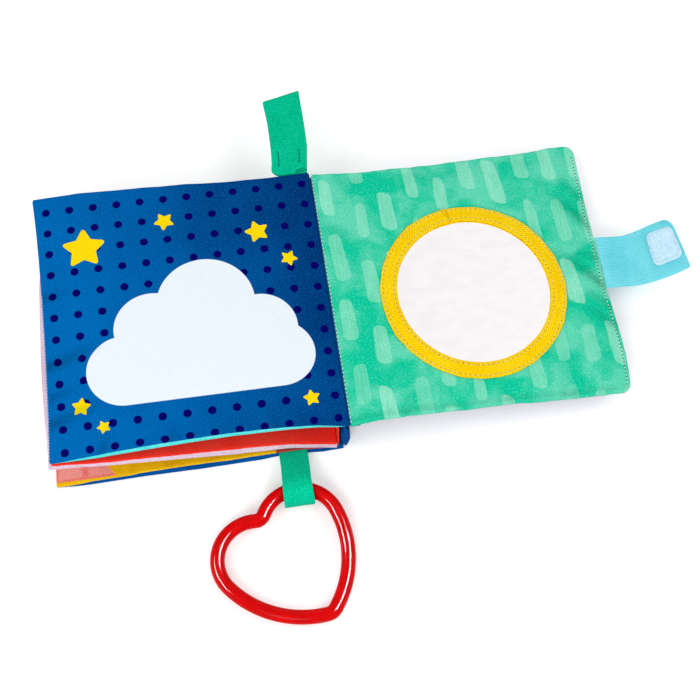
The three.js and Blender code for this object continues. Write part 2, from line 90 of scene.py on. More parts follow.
FRONT = leaning((75.5, 0, 0.75), -1, 0)
SPINE = Place((76.55, 0, 0.3), (0, 0, 1), (0, 1, 0), (1, 0, 0))
MIDDLE = leaning((72.25, 0, 4.39), -1, 9.1027)
TOP = leaning((78.65, 0, 25.75), -1, 1.5)
BACK = leaning((GUTTER_X, 0, HINGE_Z), 1, -4.5)
BACK_SEAM = Place(BACK.out((0.4, 0, COVER_SEAM_W)), *BACK.axes)


# Materials

def rgb(red, green, blue):
    """An 8-bit sRGB colour as linear RGBA."""
    shares = (red / 255, green / 255, blue / 255)
    return (*(c / 12.92 if c <= 0.04045 else ((c + 0.055) / 1.055) ** 2.4 for c in shares), 1.0)


class Value:
    """A node's output, to reckon with in plain sums."""

    def __init__(self, shade, socket):
        self.shade, self.socket = shade, socket

    def __add__(self, other):
        return self.shade.math("ADD", self, other)

    def __sub__(self, other):
        return self.shade.math("SUBTRACT", self, other)

    def __mul__(self, other):
        return self.shade.math("MULTIPLY", self, other)

    def __truediv__(self, other):
        return self.shade.math("DIVIDE", self, other)

    def __abs__(self):
        return self.shade.math("ABSOLUTE", self)


class Shade:
    """Builds one node tree: a new material's, or the one given."""

    def __init__(self, name, tree=None):
        if tree is None:
            self.material = bpy.data.materials.new(name)
            self.material.use_nodes = True
            tree = self.material.node_tree
        self.tree = tree
        self.tree.nodes.clear()

    def add(self, kind, **settings):
        node = self.tree.nodes.new("ShaderNode" + kind)
        for key, value in settings.items():
            setattr(node, key, value)
        return node

    def feed(self, socket, value):
        if isinstance(value, Value):
            value = value.socket
        if isinstance(value, bpy.types.NodeSocket):
            self.tree.links.new(value, socket)
        else:
            socket.default_value = value

    def node(self, kind, *values, out=0, **settings):
        """One output of a new node whose inputs are fed in their order."""
        node = self.add(kind, **settings)
        for socket, value in zip(node.inputs, values):
            self.feed(socket, value)
        return Value(self, node.outputs[out])

    def math(self, operation, *values):
        return self.node("Math", *values, operation=operation)

    def vector(self, operation, *values):
        out = "Value" if operation in ("LENGTH", "DISTANCE") else "Vector"
        return self.node("VectorMath", *values, out=out, operation=operation)

    def split(self, vector):
        node = self.add("SeparateXYZ")
        self.feed(node.inputs[0], vector)
        return Value(self, node.outputs[0]), Value(self, node.outputs[1])

    def join(self, *values):
        return self.node("CombineXYZ", *values)

    def mix(self, factor, a, b):
        node = self.add("Mix", data_type="RGBA")
        for index, value in ((0, factor), (6, a), (7, b)):
            self.feed(node.inputs[index], value)
        return Value(self, node.outputs[2])

    def between(self, value, low, high, to_low=0.0, to_high=1.0):
        return self.node("MapRange", value, low, high, to_low, to_high, interpolation_type="SMOOTHSTEP")

    def noise(self, vector, size, detail=2.0, stretch=(1, 1), out=0):
        """Noise whose blobs are about size millimetres across."""
        node = self.add("TexNoise", noise_dimensions="2D")
        scaled = self.vector("MULTIPLY", vector, (1 / (size * stretch[0]), 1 / (size * stretch[1]), 0))
        for name, value in (("Vector", scaled), ("Scale", 1.0), ("Detail", detail)):
            self.feed(node.inputs[name], value)
        return Value(self, node.outputs[out])

    def random(self, vector):
        """Three chances for each cell."""
        split = self.add("SeparateColor")
        self.feed(split.inputs[0], self.node("TexWhiteNoise", vector, out="Color", noise_dimensions="2D"))
        return [Value(self, output) for output in split.outputs[:3]]

    def page(self):
        """The place on the piece's own cloth, in millimetres."""
        return self.vector("MULTIPLY", self.node("UVMap", uv_map="cloth"), (UV_UNIT, UV_UNIT, 0))

    def here(self):
        """The place on the table, in millimetres."""
        return self.vector("MULTIPLY", self.node("TexCoord", out="Object"), (1 / MM, 1 / MM, 0))

    def wave(self, value, pitch):
        return self.math("SINE", value * (math.tau / pitch))

    def finish(self, colour, height, depth, strength, roughness, **sockets):
        """The material, with a bump and with other sockets by name."""
        shader, bump = self.add("BsdfPrincipled"), self.add("Bump")
        fed = ((shader, "Base Color", colour), (shader, "Roughness", roughness), (bump, "Strength", strength),
               (bump, "Distance", depth), (bump, "Height", height), (shader, "Normal", bump.outputs[0]))
        for node, name, value in fed:
            self.feed(node.inputs[name], value)
        for name, value in sockets.items():
            shader.inputs[name.replace("_", " ")].default_value = value
        self.tree.links.new(shader.outputs[0], self.add("OutputMaterial").inputs[0])
        return self.material


# Prints and weaves, in millimetres on the cloth
PLAIN_PITCH = 0.62
TWILL_PITCH = 1.85
WEBBING_PITCH, WEBBING_LEAN = 1.0, 0.25
KNIT_PITCH, KNIT_LOOP = 1.05, 0.8
THREAD_TWIST = 0.5
DOT_PITCH, DOT_RADIUS = 12.7, 2.2
DAB_COLUMN, DAB_ROW = 15.6, 37.5
SQUARE_PITCH = 15.5
ROOT_BLUE = 148.0  # where the front cover's print turns to the spine's blue
PAINTED_FOLD_SHADE = (0.95, 0.62, 0.7)  # share of red, green and blue that painted shade takes from the cloth in a deep fold
# x, y and radius of each lobe
CLOUD_LOBES = ((40, 47, 19.5), (57, 69, 20.5), (86, 80, 26.0), (113, 62, 19.5), (121, 46, 18.5))
CLOUD_BASE = (40, 121, 27.5, 64)  # from x to x, from y to y
STARS = ((25, 121, 13.0, 0.35), (69, 132, 6.2, 1.1), (118, 119, 7.4, 0.1), (133, 101, 5.2, 0.8),
         (16.5, 30, 5.6, 0.5), (27, 17.5, 4.0, 1.2), (134, 19, 5.0, 0.2))  # x, y, reach, turn
STAR_NOTCH, STAR_BLUNT, STAR_ROUND = 0.52, 0.9, 0.12  # shares of a star's reach


def plain_weave(g, page):
    x, y = g.split(page)
    return g.wave(x, PLAIN_PITCH) * g.wave(y, PLAIN_PITCH) * 0.5 + g.noise(page, 0.9, 1.0, (3.0, 0.6))


def twill(pitch, lean):
    """A weave of ribs that slant across the piece."""

    def weave(g, page):
        x, y = g.split(page)
        return g.wave(x + y * lean + g.noise(page, 3.0) * 0.5, pitch)

    return weave


def rib_knit(g, page):
    x, y = g.split(page)
    rib = g.wave(y + g.noise(page, 5.0, 1.0, (2.0, 1.0)) * 0.6, KNIT_PITCH)
    return rib + g.wave(x, KNIT_LOOP) * 0.2


def cloth(name, paint, weave=plain_weave, grain=0.16, depth=0.00012, strength=0.35):
    """A printed fabric: the print, a fine mottle, painted shade in its folds and in the hollows of its weave, a
    weave that lifts and a soft sheen.
    """
    g = Shade(name)
    page = g.page()
    height = weave(g, page)
    mottle = g.noise(page, 0.75)
    # random mottle, with painted shade that darkens the hollows of the weave
    grain_and_painted_weave_shade = g.between(mottle, 0.25, 0.75, 1 - grain, 1 + grain) * g.between(height, -1.0, 1.5, 0.95, 1.04)
    # painted shade in the creases and the foot's groove, by how deep they press the cloth
    fold = g.node("Attribute", out="Fac", attribute_name="fold")
    shade = g.vector("SUBTRACT", (1, 1, 1), g.vector("MULTIPLY", g.join(fold, fold, fold), PAINTED_FOLD_SHADE))
    colour = g.vector("MULTIPLY", g.vector("MULTIPLY", paint(g, page), g.join(grain_and_painted_weave_shade, grain_and_painted_weave_shade, grain_and_painted_weave_shade)), shade)
    rough = g.between(mottle, 0.2, 0.8, 0.78, 0.92)
    return g.finish(colour, height, depth, strength, rough, Sheen_Weight=0.02, Sheen_Roughness=0.45,
                    Specular_IOR_Level=0.0)


def washed(*colours, size=32.0):
    """A print that drifts between two colours, as dyed cloth does, with specks of a third if there is one."""

    def paint(g, page):
        first, second, *third = (rgb(*colour) for colour in colours)
        result = g.mix(g.between(g.noise(page, size, 3.0), 0.3, 0.7), first, second)
        for colour in third:
            result = g.mix(g.between(g.noise(page, 1.3, 3.0), 0.5, 0.72) * 0.5, result, colour)
        return result

    return paint


def painted_rib_shade(paint, deep, pitch, slope, amount):
    """A paint with painted shade in the valleys between ribs that follow one another along a slope."""

    def paint_rib_shade(g, page):
        x, y = g.split(page)
        rib = g.wave(x * slope[0] + y * slope[1] + g.noise(page, 4.0) * 0.5, pitch)
        patchy = g.between(g.noise(page, 6.0), 0.3, 0.7, 0.6, 1.0)
        # the deep colour is painted shade, laid in the valleys between the ribs
        return g.mix(g.between(rib, 0.1, -0.9) * (patchy * amount), paint(g, page), rgb(*deep))

    return paint_rib_shade


def star_mask(g, page, x, y, size, turn):
    """One inside a star of five blunt points."""
    sector = math.tau / 5
    rel = g.vector("SUBTRACT", page, (x, y, 0))
    px, py = g.split(rel)
    radius = g.vector("LENGTH", rel)
    folded = abs(g.math("FLOORED_MODULO", g.math("ARCTAN2", py, px) + turn, sector) - sector / 2)
    notch = STAR_NOTCH * size
    nx, ny = notch * math.sin(sector / 2), size - notch * math.cos(sector / 2)
    norm = math.hypot(nx, ny)
    along, aside = radius * g.math("COSINE", folded) - size, radius * g.math("SINE", folded)
    edge = along * (nx / norm) + aside * (ny / norm)
    return g.between(g.math("SMOOTH_MAX", edge, radius - STAR_BLUNT * size, STAR_ROUND * size), 0.05, -0.05)


def night_print(g, page):
    """A blue that deepens to the gutter and a little to the head, partly print and partly painted shade, with fine
    specks, rows of dots, stars and a cloud.
    """
    x, y = g.split(page)
    # partly print and partly painted shade: the ground darkens towards the gutter and a little towards the head
    fade = x * 0.0046 + y * 0.0011 + g.noise(page, 38.0) * 0.35
    colour = g.mix(g.between(fade, 0.2, 1.2), rgb(0, 104, 180), rgb(0, 40, 100))
    fine = g.noise(page, 0.8, 3.0)
    colour = g.mix(g.between(fine, 0.52, 0.72, 0.0, 0.35), colour, rgb(22, 126, 200))
    colour = g.mix(g.between(fine, 0.46, 0.3, 0.0, 0.45), colour, rgb(0, 52, 116))
    cell = g.vector("FRACTION", g.vector("MULTIPLY", page, (1 / DOT_PITCH, 1 / DOT_PITCH, 0)))
    reach = g.vector("LENGTH", g.vector("SUBTRACT", cell, (0.5, 0.5, 0))) * DOT_PITCH
    ragged = reach + g.noise(page, 1.0) * 0.3
    colour = g.mix(g.between(ragged, DOT_RADIUS + 0.28, DOT_RADIUS + 0.02), colour, rgb(8, 4, 98))
    for star in STARS:
        colour = g.mix(star_mask(g, page, *star), colour, rgb(250, 216, 12))
    left, right, low, high = CLOUD_BASE
    cloud = g.math("MAXIMUM", abs(x - (left + right) / 2) - (right - left) / 2,
                   abs(y - (low + high) / 2) - (high - low) / 2)
    for cx, cy, radius in CLOUD_LOBES:
        cloud = g.math("MINIMUM", cloud, g.vector("DISTANCE", page, (cx, cy, 0)) - radius)
    return g.mix(g.between(cloud, 0.15, -0.15), colour, rgb(232, 241, 248))


def brushed_green(g, page):
    """A watercolour ground of broad washes and fine specks, under loose upright dabs of a wide brush."""
    drift = g.vector("SUBTRACT", g.noise(page, 26.0, out="Color"), (0.5, 0.5, 0.5))
    warp = g.vector("ADD", page, g.vector("MULTIPLY", drift, (22.0, 22.0, 0)))
    broad = g.between(g.noise(warp, 21.0, 4.0), 0.34, 0.68)
    ground = g.mix(broad, rgb(4, 197, 154), rgb(90, 212, 177))
    speck = g.between(g.noise(page, 1.0, 3.0), 0.5, 0.72)
    ground = g.mix(speck * (broad * 0.3 + 0.16), ground, rgb(150, 222, 194))
    x, y = g.split(page)
    column = g.math("FLOOR", x / DAB_COLUMN)
    y = y + g.random(g.join(column, 4.0))[0] * DAB_ROW
    first, second, third = g.random(g.join(column, g.math("FLOOR", y / DAB_ROW)))
    cx = g.math("MODULO", x, DAB_COLUMN) - DAB_COLUMN / 2
    cy = g.math("FLOORED_MODULO", y, DAB_ROW) - DAB_ROW / 2
    cx = cx + (first - 0.5) * 3.6 + cy * (second * 0.1 - 0.01) + (g.noise(page, 9.0) - 0.5) * 0.9
    slant = cy + cx * ((first - 0.4) * 0.7)
    wide, tall = abs(cx) - (third * 1.2 + 2.7 - cy * 0.03), abs(slant) - (second * 4.2 + 10.5)
    edge = g.math("SMOOTH_MAX", wide, tall, 5.5) + g.noise(page, 1.2) * 0.6
    streak = g.between(g.noise(page, 2.0, 3.0, (0.5, 8.0)), 0.25, 0.7, 0.65, 1.0)
    cover = g.between(edge, 0.75, 0.15) * (streak * (first * 0.4 + 0.28))
    return g.mix(cover, ground, rgb(160, 233, 206))


def patched_salmon(g, page):
    """Salmon with paler squares, a yellow hill over most of the page, a painted shadow of darker brown in the
    corner by the spine at the foot, and the spine's blue at its root.
    """
    cell = g.vector("MULTIPLY", page, (1 / SQUARE_PITCH, 1 / SQUARE_PITCH, 0))
    chance = g.random(g.vector("FLOOR", cell))[0]
    fx, fy = g.split(g.vector("SUBTRACT", g.vector("FRACTION", cell), (0.5, 0.5, 0)))
    square = g.between(g.math("MAXIMUM", abs(fx), abs(fy)), 0.42, 0.39) * g.between(chance, 0.35, 0.4)
    mottle = g.mix(g.between(g.noise(page, 9.0, 3.0), 0.3, 0.7), rgb(240, 122, 113), rgb(248, 135, 125))
    colour = g.mix(square * 0.75, mottle, rgb(243, 164, 154))
    yellow = g.mix(g.between(g.noise(page, 14.0, 3.0), 0.3, 0.7), rgb(236, 186, 14), rgb(244, 200, 22))
    hill = g.vector("DISTANCE", page, (92.0, 40.0, 0)) + g.noise(page, 22.0) * 6.0
    colour = g.mix(g.between(hill, 76.2, 75.4), colour, yellow)
    x, y = g.split(page)
    colour = g.mix(g.between(y + g.noise(page, 9.0), 1.0, 0.5), colour, yellow)
    # painted shadow: darker brown in the corner by the spine at the foot
    painted_shadow_distance = g.vector("DISTANCE", page, (146.0, -4.0, 0))
    colour = g.mix(g.between(painted_shadow_distance, 31.4, 30.8), colour, rgb(176, 70, 56))
    return g.mix(g.between(x, ROOT_BLUE, ROOT_BLUE + 0.5), colour, rgb(0, 74, 146))


def thread(name, colour):
    g = Shade(name)
    x, y = g.split(g.page())
    ply = g.wave(x + y, THREAD_TWIST)
    # painted shade: the thread's colour darkens in the grooves of its twist
    shade = g.mix(g.between(ply, -1, 1), rgb(*[c * 0.86 for c in colour]), rgb(*colour))
    return g.finish(shade, ply, 0.0001, 0.4, 0.7, Sheen_Weight=0.05, Specular_IOR_Level=0.02)


def hook_and_loop(name, pale, deep):
    g = Shade(name)
    page = g.page()
    fuzz = g.noise(page, 0.8, 4.0) + g.noise(page, 2.6) * 0.5
    colour = g.mix(g.between(fuzz, 0.5, 0.95), rgb(*deep), rgb(*pale))
    return g.finish(colour, fuzz, 0.0004, 0.6, 0.95, Sheen_Weight=0.08, Specular_IOR_Level=0.02)


def silver_film():
    g = Shade("silver_film")
    place = g.here()
    swell, scuff = g.noise(place, 24.0, 1.0), g.noise(place, 7.0, 3.0, (1.6, 0.8))
    tint = g.mix(g.between(scuff, 0.35, 0.7), rgb(254, 250, 251), rgb(250, 246, 248))
    return g.finish(tint, swell, 0.0012, 0.2, g.between(scuff, 0.3, 0.7, 0.02, 0.06), Metallic=1.0)


def glossy_red():
    g = Shade("heart_gloss")
    place = g.here()
    drift = g.noise(place, 12.0)
    colour = g.mix(g.between(drift, 0.3, 0.7), rgb(216, 0, 2), rgb(204, 0, 1))
    rough = g.between(g.noise(place, 2.0, 3.0), 0.3, 0.7, 0.06, 0.1)
    return g.finish(colour, drift, 0.0004, 0.06, rough, Specular_IOR_Level=0.06)


def webbing(name, *tones):
    # the fourth tone is painted shade between the ribs
    ribs = painted_rib_shade(washed(*tones[:3], size=12.0), tones[3], WEBBING_PITCH, (1, WEBBING_LEAN), 0.22)
    return cloth(name, ribs, twill(WEBBING_PITCH, WEBBING_LEAN), grain=0.08, depth=0.00022, strength=0.5)


NIGHT = cloth("night_cloth", night_print, grain=0.035)
GREEN = cloth("green_cloth", brushed_green, grain=0.10)
SALMON = cloth("salmon_cloth", patched_salmon)
RED = cloth("red_cloth", washed((252, 50, 38), (254, 62, 48), (240, 40, 30)), grain=0.08)
LAVENDER = cloth("lavender_cloth", washed((218, 190, 212), (232, 212, 228), (204, 176, 202)), grain=0.07)
TURQUOISE = cloth("turquoise_cloth", washed((74, 218, 214), (104, 230, 226), (60, 206, 204)), grain=0.07)
COVER_BLUE = cloth("cover_cloth", washed((0, 74, 146), (0, 88, 160), (0, 62, 128)), grain=0.10)
YELLOW_WASH = washed((255, 210, 8), (255, 217, 24), size=18.0)
# the deeper yellow is painted shade between the twill's ribs
YELLOW = cloth("yellow_twill", painted_rib_shade(YELLOW_WASH, (232, 176, 0), TWILL_PITCH, (1, 1), 0.4),
               twill(TWILL_PITCH, 1.0), grain=0.05, depth=0.0003, strength=0.4)
KNIT_WASH = washed((118, 230, 244), (134, 238, 250), size=14.0)
# the deeper blue is painted shade between the knit's ribs
TAB_BLUE = cloth("tab_knit", painted_rib_shade(KNIT_WASH, (72, 182, 210), KNIT_PITCH, (0, 1), 0.4), rib_knit,
                 grain=0.06, depth=0.0003, strength=0.6)
LOOP_WEBBING = webbing("green_webbing", (0, 188, 142), (4, 196, 149), (40, 208, 165), (0, 164, 120))
STRAP_WEBBING = webbing("light_green_webbing", (0, 203, 155), (4, 211, 162), (52, 219, 176), (0, 178, 131))
WHITE_THREAD = thread("white_thread", (244, 246, 244))
YELLOW_THREAD = thread("yellow_thread", (255, 240, 160))
GREEN_THREAD = thread("green_thread", (0, 104, 78))
PALE_THREAD = thread("pale_thread", (196, 232, 246))
# dark discs that stand for the shade in needle holes: painted shade
HOLE_SHADE_GREEN = thread("needle_hole_shade_green", (2, 52, 42))
HOLE_SHADE_BLUE = thread("needle_hole_shade_blue", (4, 30, 66))
HOLE_SHADE_BROWN = thread("needle_hole_shade_brown", (140, 92, 8))
HOOK = hook_and_loop("hook_patch", (214, 240, 254), (176, 222, 246))
LOOP_PILE = hook_and_loop("loop_patch", (224, 240, 250), (188, 216, 238))


# Meshes

UP = np.array((0.0, 0.0, 1.0))
RAY_START = 40.0


def linked(name, data):
    """A new object in the scene."""
    made = bpy.data.objects.new(name, data)
    bpy.context.scene.collection.objects.link(made)
    return made


def new_piece(name, points, faces, materials, slots=None, uv=None):
    """A smooth-shaded mesh object from points in millimetres."""
    mesh = bpy.data.meshes.new(name)
    mesh.from_pydata((np.asarray(points) * MM).tolist(), [], faces)
    for material in materials:
        mesh.materials.append(material)
    if slots is not None:
        mesh.polygons.foreach_set("material_index", np.asarray(slots, np.int32))
    if uv is not None:
        layer = mesh.uv_layers.new(name="cloth")
        index = np.zeros(len(mesh.loops), np.int32)
        mesh.loops.foreach_get("vertex_index", index)
        layer.uv.foreach_set("vector", (np.asarray(uv) / UV_UNIT)[index].astype(np.float32).ravel())
    mesh.polygons.foreach_set("use_smooth", np.ones(len(mesh.polygons), bool))
    mesh.update()
    return linked(name, mesh)


def shell(base, normal, up, down, sign):
    """A closed body of two sheets about a middle surface, which share its rim: its points, its faces with the
    upper ones first, their slots, and which grid points have a lower point of their own."""
    rows, columns = up.shape
    inner = np.zeros((rows, columns), bool)
    inner[1:-1, 1:-1] = True
    top = np.arange(rows * columns).reshape(rows, columns)
    low = top.copy()
    low[inner] = rows * columns + np.arange(inner.sum())
    faces = []
    for index, turn in ((top, sign > 0), (low, sign < 0)):
        a, b, c, d = index[:-1, :-1], index[1:, :-1], index[1:, 1:], index[:-1, 1:]
        faces += np.stack([a, b, c, d] if turn else [a, d, c, b], -1).reshape(-1, 4).tolist()
    upper, lower = base + normal * up[..., None], base - normal * down[..., None]
    half = len(faces) // 2
    return np.concatenate([upper.reshape(-1, 3), lower[inner]]), faces, [0] * half + [1] * half, inner


def on_both(grid, inner):
    """A grid's values at the points of both sheets."""
    return np.concatenate([grid.reshape(-1, *grid.shape[2:]), grid[inner]])


def rim_half(distance, half):
    """Half the thickness near a rounded edge."""
    near = np.clip(distance / half, 0, 1)
    return half * np.sqrt(1 - (1 - near) ** 2)


def corner_cut(distance, radius):
    """How far a rounded corner stands back at a distance from its side."""
    reach = np.clip(radius - distance, 0, None)
    return radius - np.sqrt(np.maximum(radius * radius - reach * reach, 0))


def stations(length, rim, step):
    """Places along a length: the rim's own at both ends and even steps between them."""
    rim = np.array(rim, float)
    inner = length - 2 * rim[-1]
    count = max(1, round(inner / step))
    middle = rim[-1] + inner * np.arange(1, count) / count
    return np.concatenate([rim, middle, length - rim[::-1]])


def travelled(path):
    """How far along a path each of its points is."""
    return np.concatenate([[0], np.cumsum(np.linalg.norm(np.diff(path, axis=0), axis=1))])


def sample(at, gone, path):
    """A path's values at places along it."""
    return np.stack([np.interp(at, gone, column) for column in np.transpose(path)], -1)


def line(start, end, count=60):
    return np.linspace(start, end, count)


def arc(centre, radius, start, end, count=24):
    angles = np.radians(np.linspace(start, end, count))
    return np.stack([centre[0] + radius * np.cos(angles), centre[1] + radius * np.sin(angles)], -1)


def touched(tree, place, spots, side=1):
    """Points and normals where (u, v) spots of a place meet a mesh, from above (1) or below (-1)."""
    found, normals = [], []
    for u, v in spots:
        hit, normal = tree.ray_cast(Vector((u, v, RAY_START * side)), Vector((0, 0, -side)))[:2]
        if hit is not None:
            found.append(tuple(hit))
            normals.append(np.array(normal) * np.sign(normal[2]) * side)
    return place.out(found), np.array(normals) @ place.axes


# Padded panels

RIPPLES = (31.0, 19.0, 12.5, 8.3)
FOOT_RIPPLES = (17.0, 11.0, 7.0)
PANEL_RIM = (0, 0.3, 0.75, 1.7, 2.9, 4.2, 6.0, 8.4, 11.4, 15.0)
SPINE_RIM = (0, 0.3, 0.75, 1.5, 2.4, 3.6, 5.2, 7.2)
SWELL_SCALE = 10.0  # the cloth swells at this many times its size
SWELL_FRAMES = 22
SWELL_SETTINGS = dict(vertex_group_mass="held", quality=6, mass=0.2, tension_stiffness=25,
                      compression_stiffness=25, shear_stiffness=10, bending_stiffness=1.5, air_damping=4,
                      use_pressure=True, uniform_pressure_force=1.2, shrink_min=-0.012)
SWELL_RUN, SHIFT_RUN, SHIFT_LIMIT = 8, 12, 0.5  # how far in from the hem it grows, and its greatest shift
PUCKER_GROW, PUCKER_PEAK, PUCKER_FADE = 2.5, 3, 6.5  # distances from the panel's end
RIM_WANDER, RIM_FADE = 0.35, 3.0  # share of a pucker that the end wanders by, and how far in
GROOVE_MEAN, GROOVE_UNEVEN = 0.7, 0.45
# How a rolled edge's lower cloth lies, at the distances of PANEL_RIM inside it
ROLL_OUT = (0, 0.6, 0.95, 0.9, 0.6, 0.3, 0.1, 0, 0, 0)
ROLL_KEPT = (0, 0, 0, 0.1, 0.35, 0.6, 0.85, 1, 1, 1)
ROLL_DOWN = (0, 0.12, 0.42, 0.86, 1.0, 0.95, 0.75, 0.45, 0.18, 0)
LIFT_REACH = 22.0
PULL_REACH = 45.0
DEEP_FOLD = 2.0  # depth of a crease that takes the full painted fold shade


def ripple(along, seed, lengths=RIPPLES):
    """A smooth uneven wave along an edge, about one in height."""
    chance = np.random.default_rng(seed)
    total = np.zeros_like(along)
    for length in lengths:
        total += chance.uniform(0.5, 1.0) * np.sin(math.tau * along / length + chance.uniform(0, math.tau))
    return total / 2.2


def swollen(points, faces, held):
    """The points after the cloth has been blown up a little from inside, with some points held."""
    mesh = bpy.data.meshes.new("swelling")
    mesh.from_pydata((points * MM * SWELL_SCALE).tolist(), [], faces)
    body = linked("swelling", mesh)
    body.vertex_groups.new(name="held").add(np.flatnonzero(held).tolist(), 1.0, "REPLACE")
    modifier = body.modifiers.new("cloth", "CLOTH")
    for key, value in SWELL_SETTINGS.items():
        setattr(modifier.settings, key, value)
    modifier.settings.effector_weights.gravity = 0
    modifier.collision_settings.use_collision = False
    modifier.point_cache.frame_start = 1
    modifier.point_cache.frame_end = SWELL_FRAMES
    for number in range(1, SWELL_FRAMES + 1):
        bpy.context.scene.frame_set(number)
    shaped = body.evaluated_get(bpy.context.evaluated_depsgraph_get()).data
    moved = np.zeros(len(points) * 3)
    shaped.vertices.foreach_get("co", moved)
    bpy.context.scene.frame_set(1)
    bpy.data.objects.remove(body)
    bpy.data.meshes.remove(mesh)
    return moved.reshape(-1, 3) / (MM * SWELL_SCALE)


class Edge:
    """How a sewn edge lies, in tables along it: pulled in, raised, its lower cloth rolled out and down."""

    def __init__(self, at, pull=0, lift=0, roll=0, drop=0):
        self.at = at
        tables = (pull, lift, roll, drop)
        self.tables = [np.broadcast_to(np.array(values, float), len(at)) for values in tables]

    def lay(self, points, along, away, axis, outward, lower):
        """Moves points by their place along the edge and how far inside it they are."""
        pull, lift, roll, drop = (np.interp(along, self.at, values) for values in self.tables)
        rolled = roll * np.interp(away, PANEL_RIM, ROLL_OUT)
        rolled += away * (1 - np.interp(away, PANEL_RIM, ROLL_KEPT)) * np.clip(roll, 0, 1)
        points[:, axis] += outward * (rolled * lower - pull * (1 - np.clip(away / PULL_REACH, 0, 1)))
        points[:, 2] += lift * (1 - np.clip(away / LIFT_REACH, 0, 1)) ** 2
        points[:, 2] -= drop * np.interp(away, PANEL_RIM, ROLL_DOWN) * lower


def crease(points, start, end, depth, width):
    """How far a soft crease that runs out along a line presses each point down."""
    start, end = np.array(start, float), np.array(end, float)
    along = np.clip((points[:, :2] - start) @ (end - start) / np.sum((end - start) ** 2), 0, 1)
    off = np.linalg.norm(points[:, :2] - start - along[:, None] * (end - start), axis=1)
    return depth * np.exp(-(off / width) ** 2) * (1 - along) ** 0.7


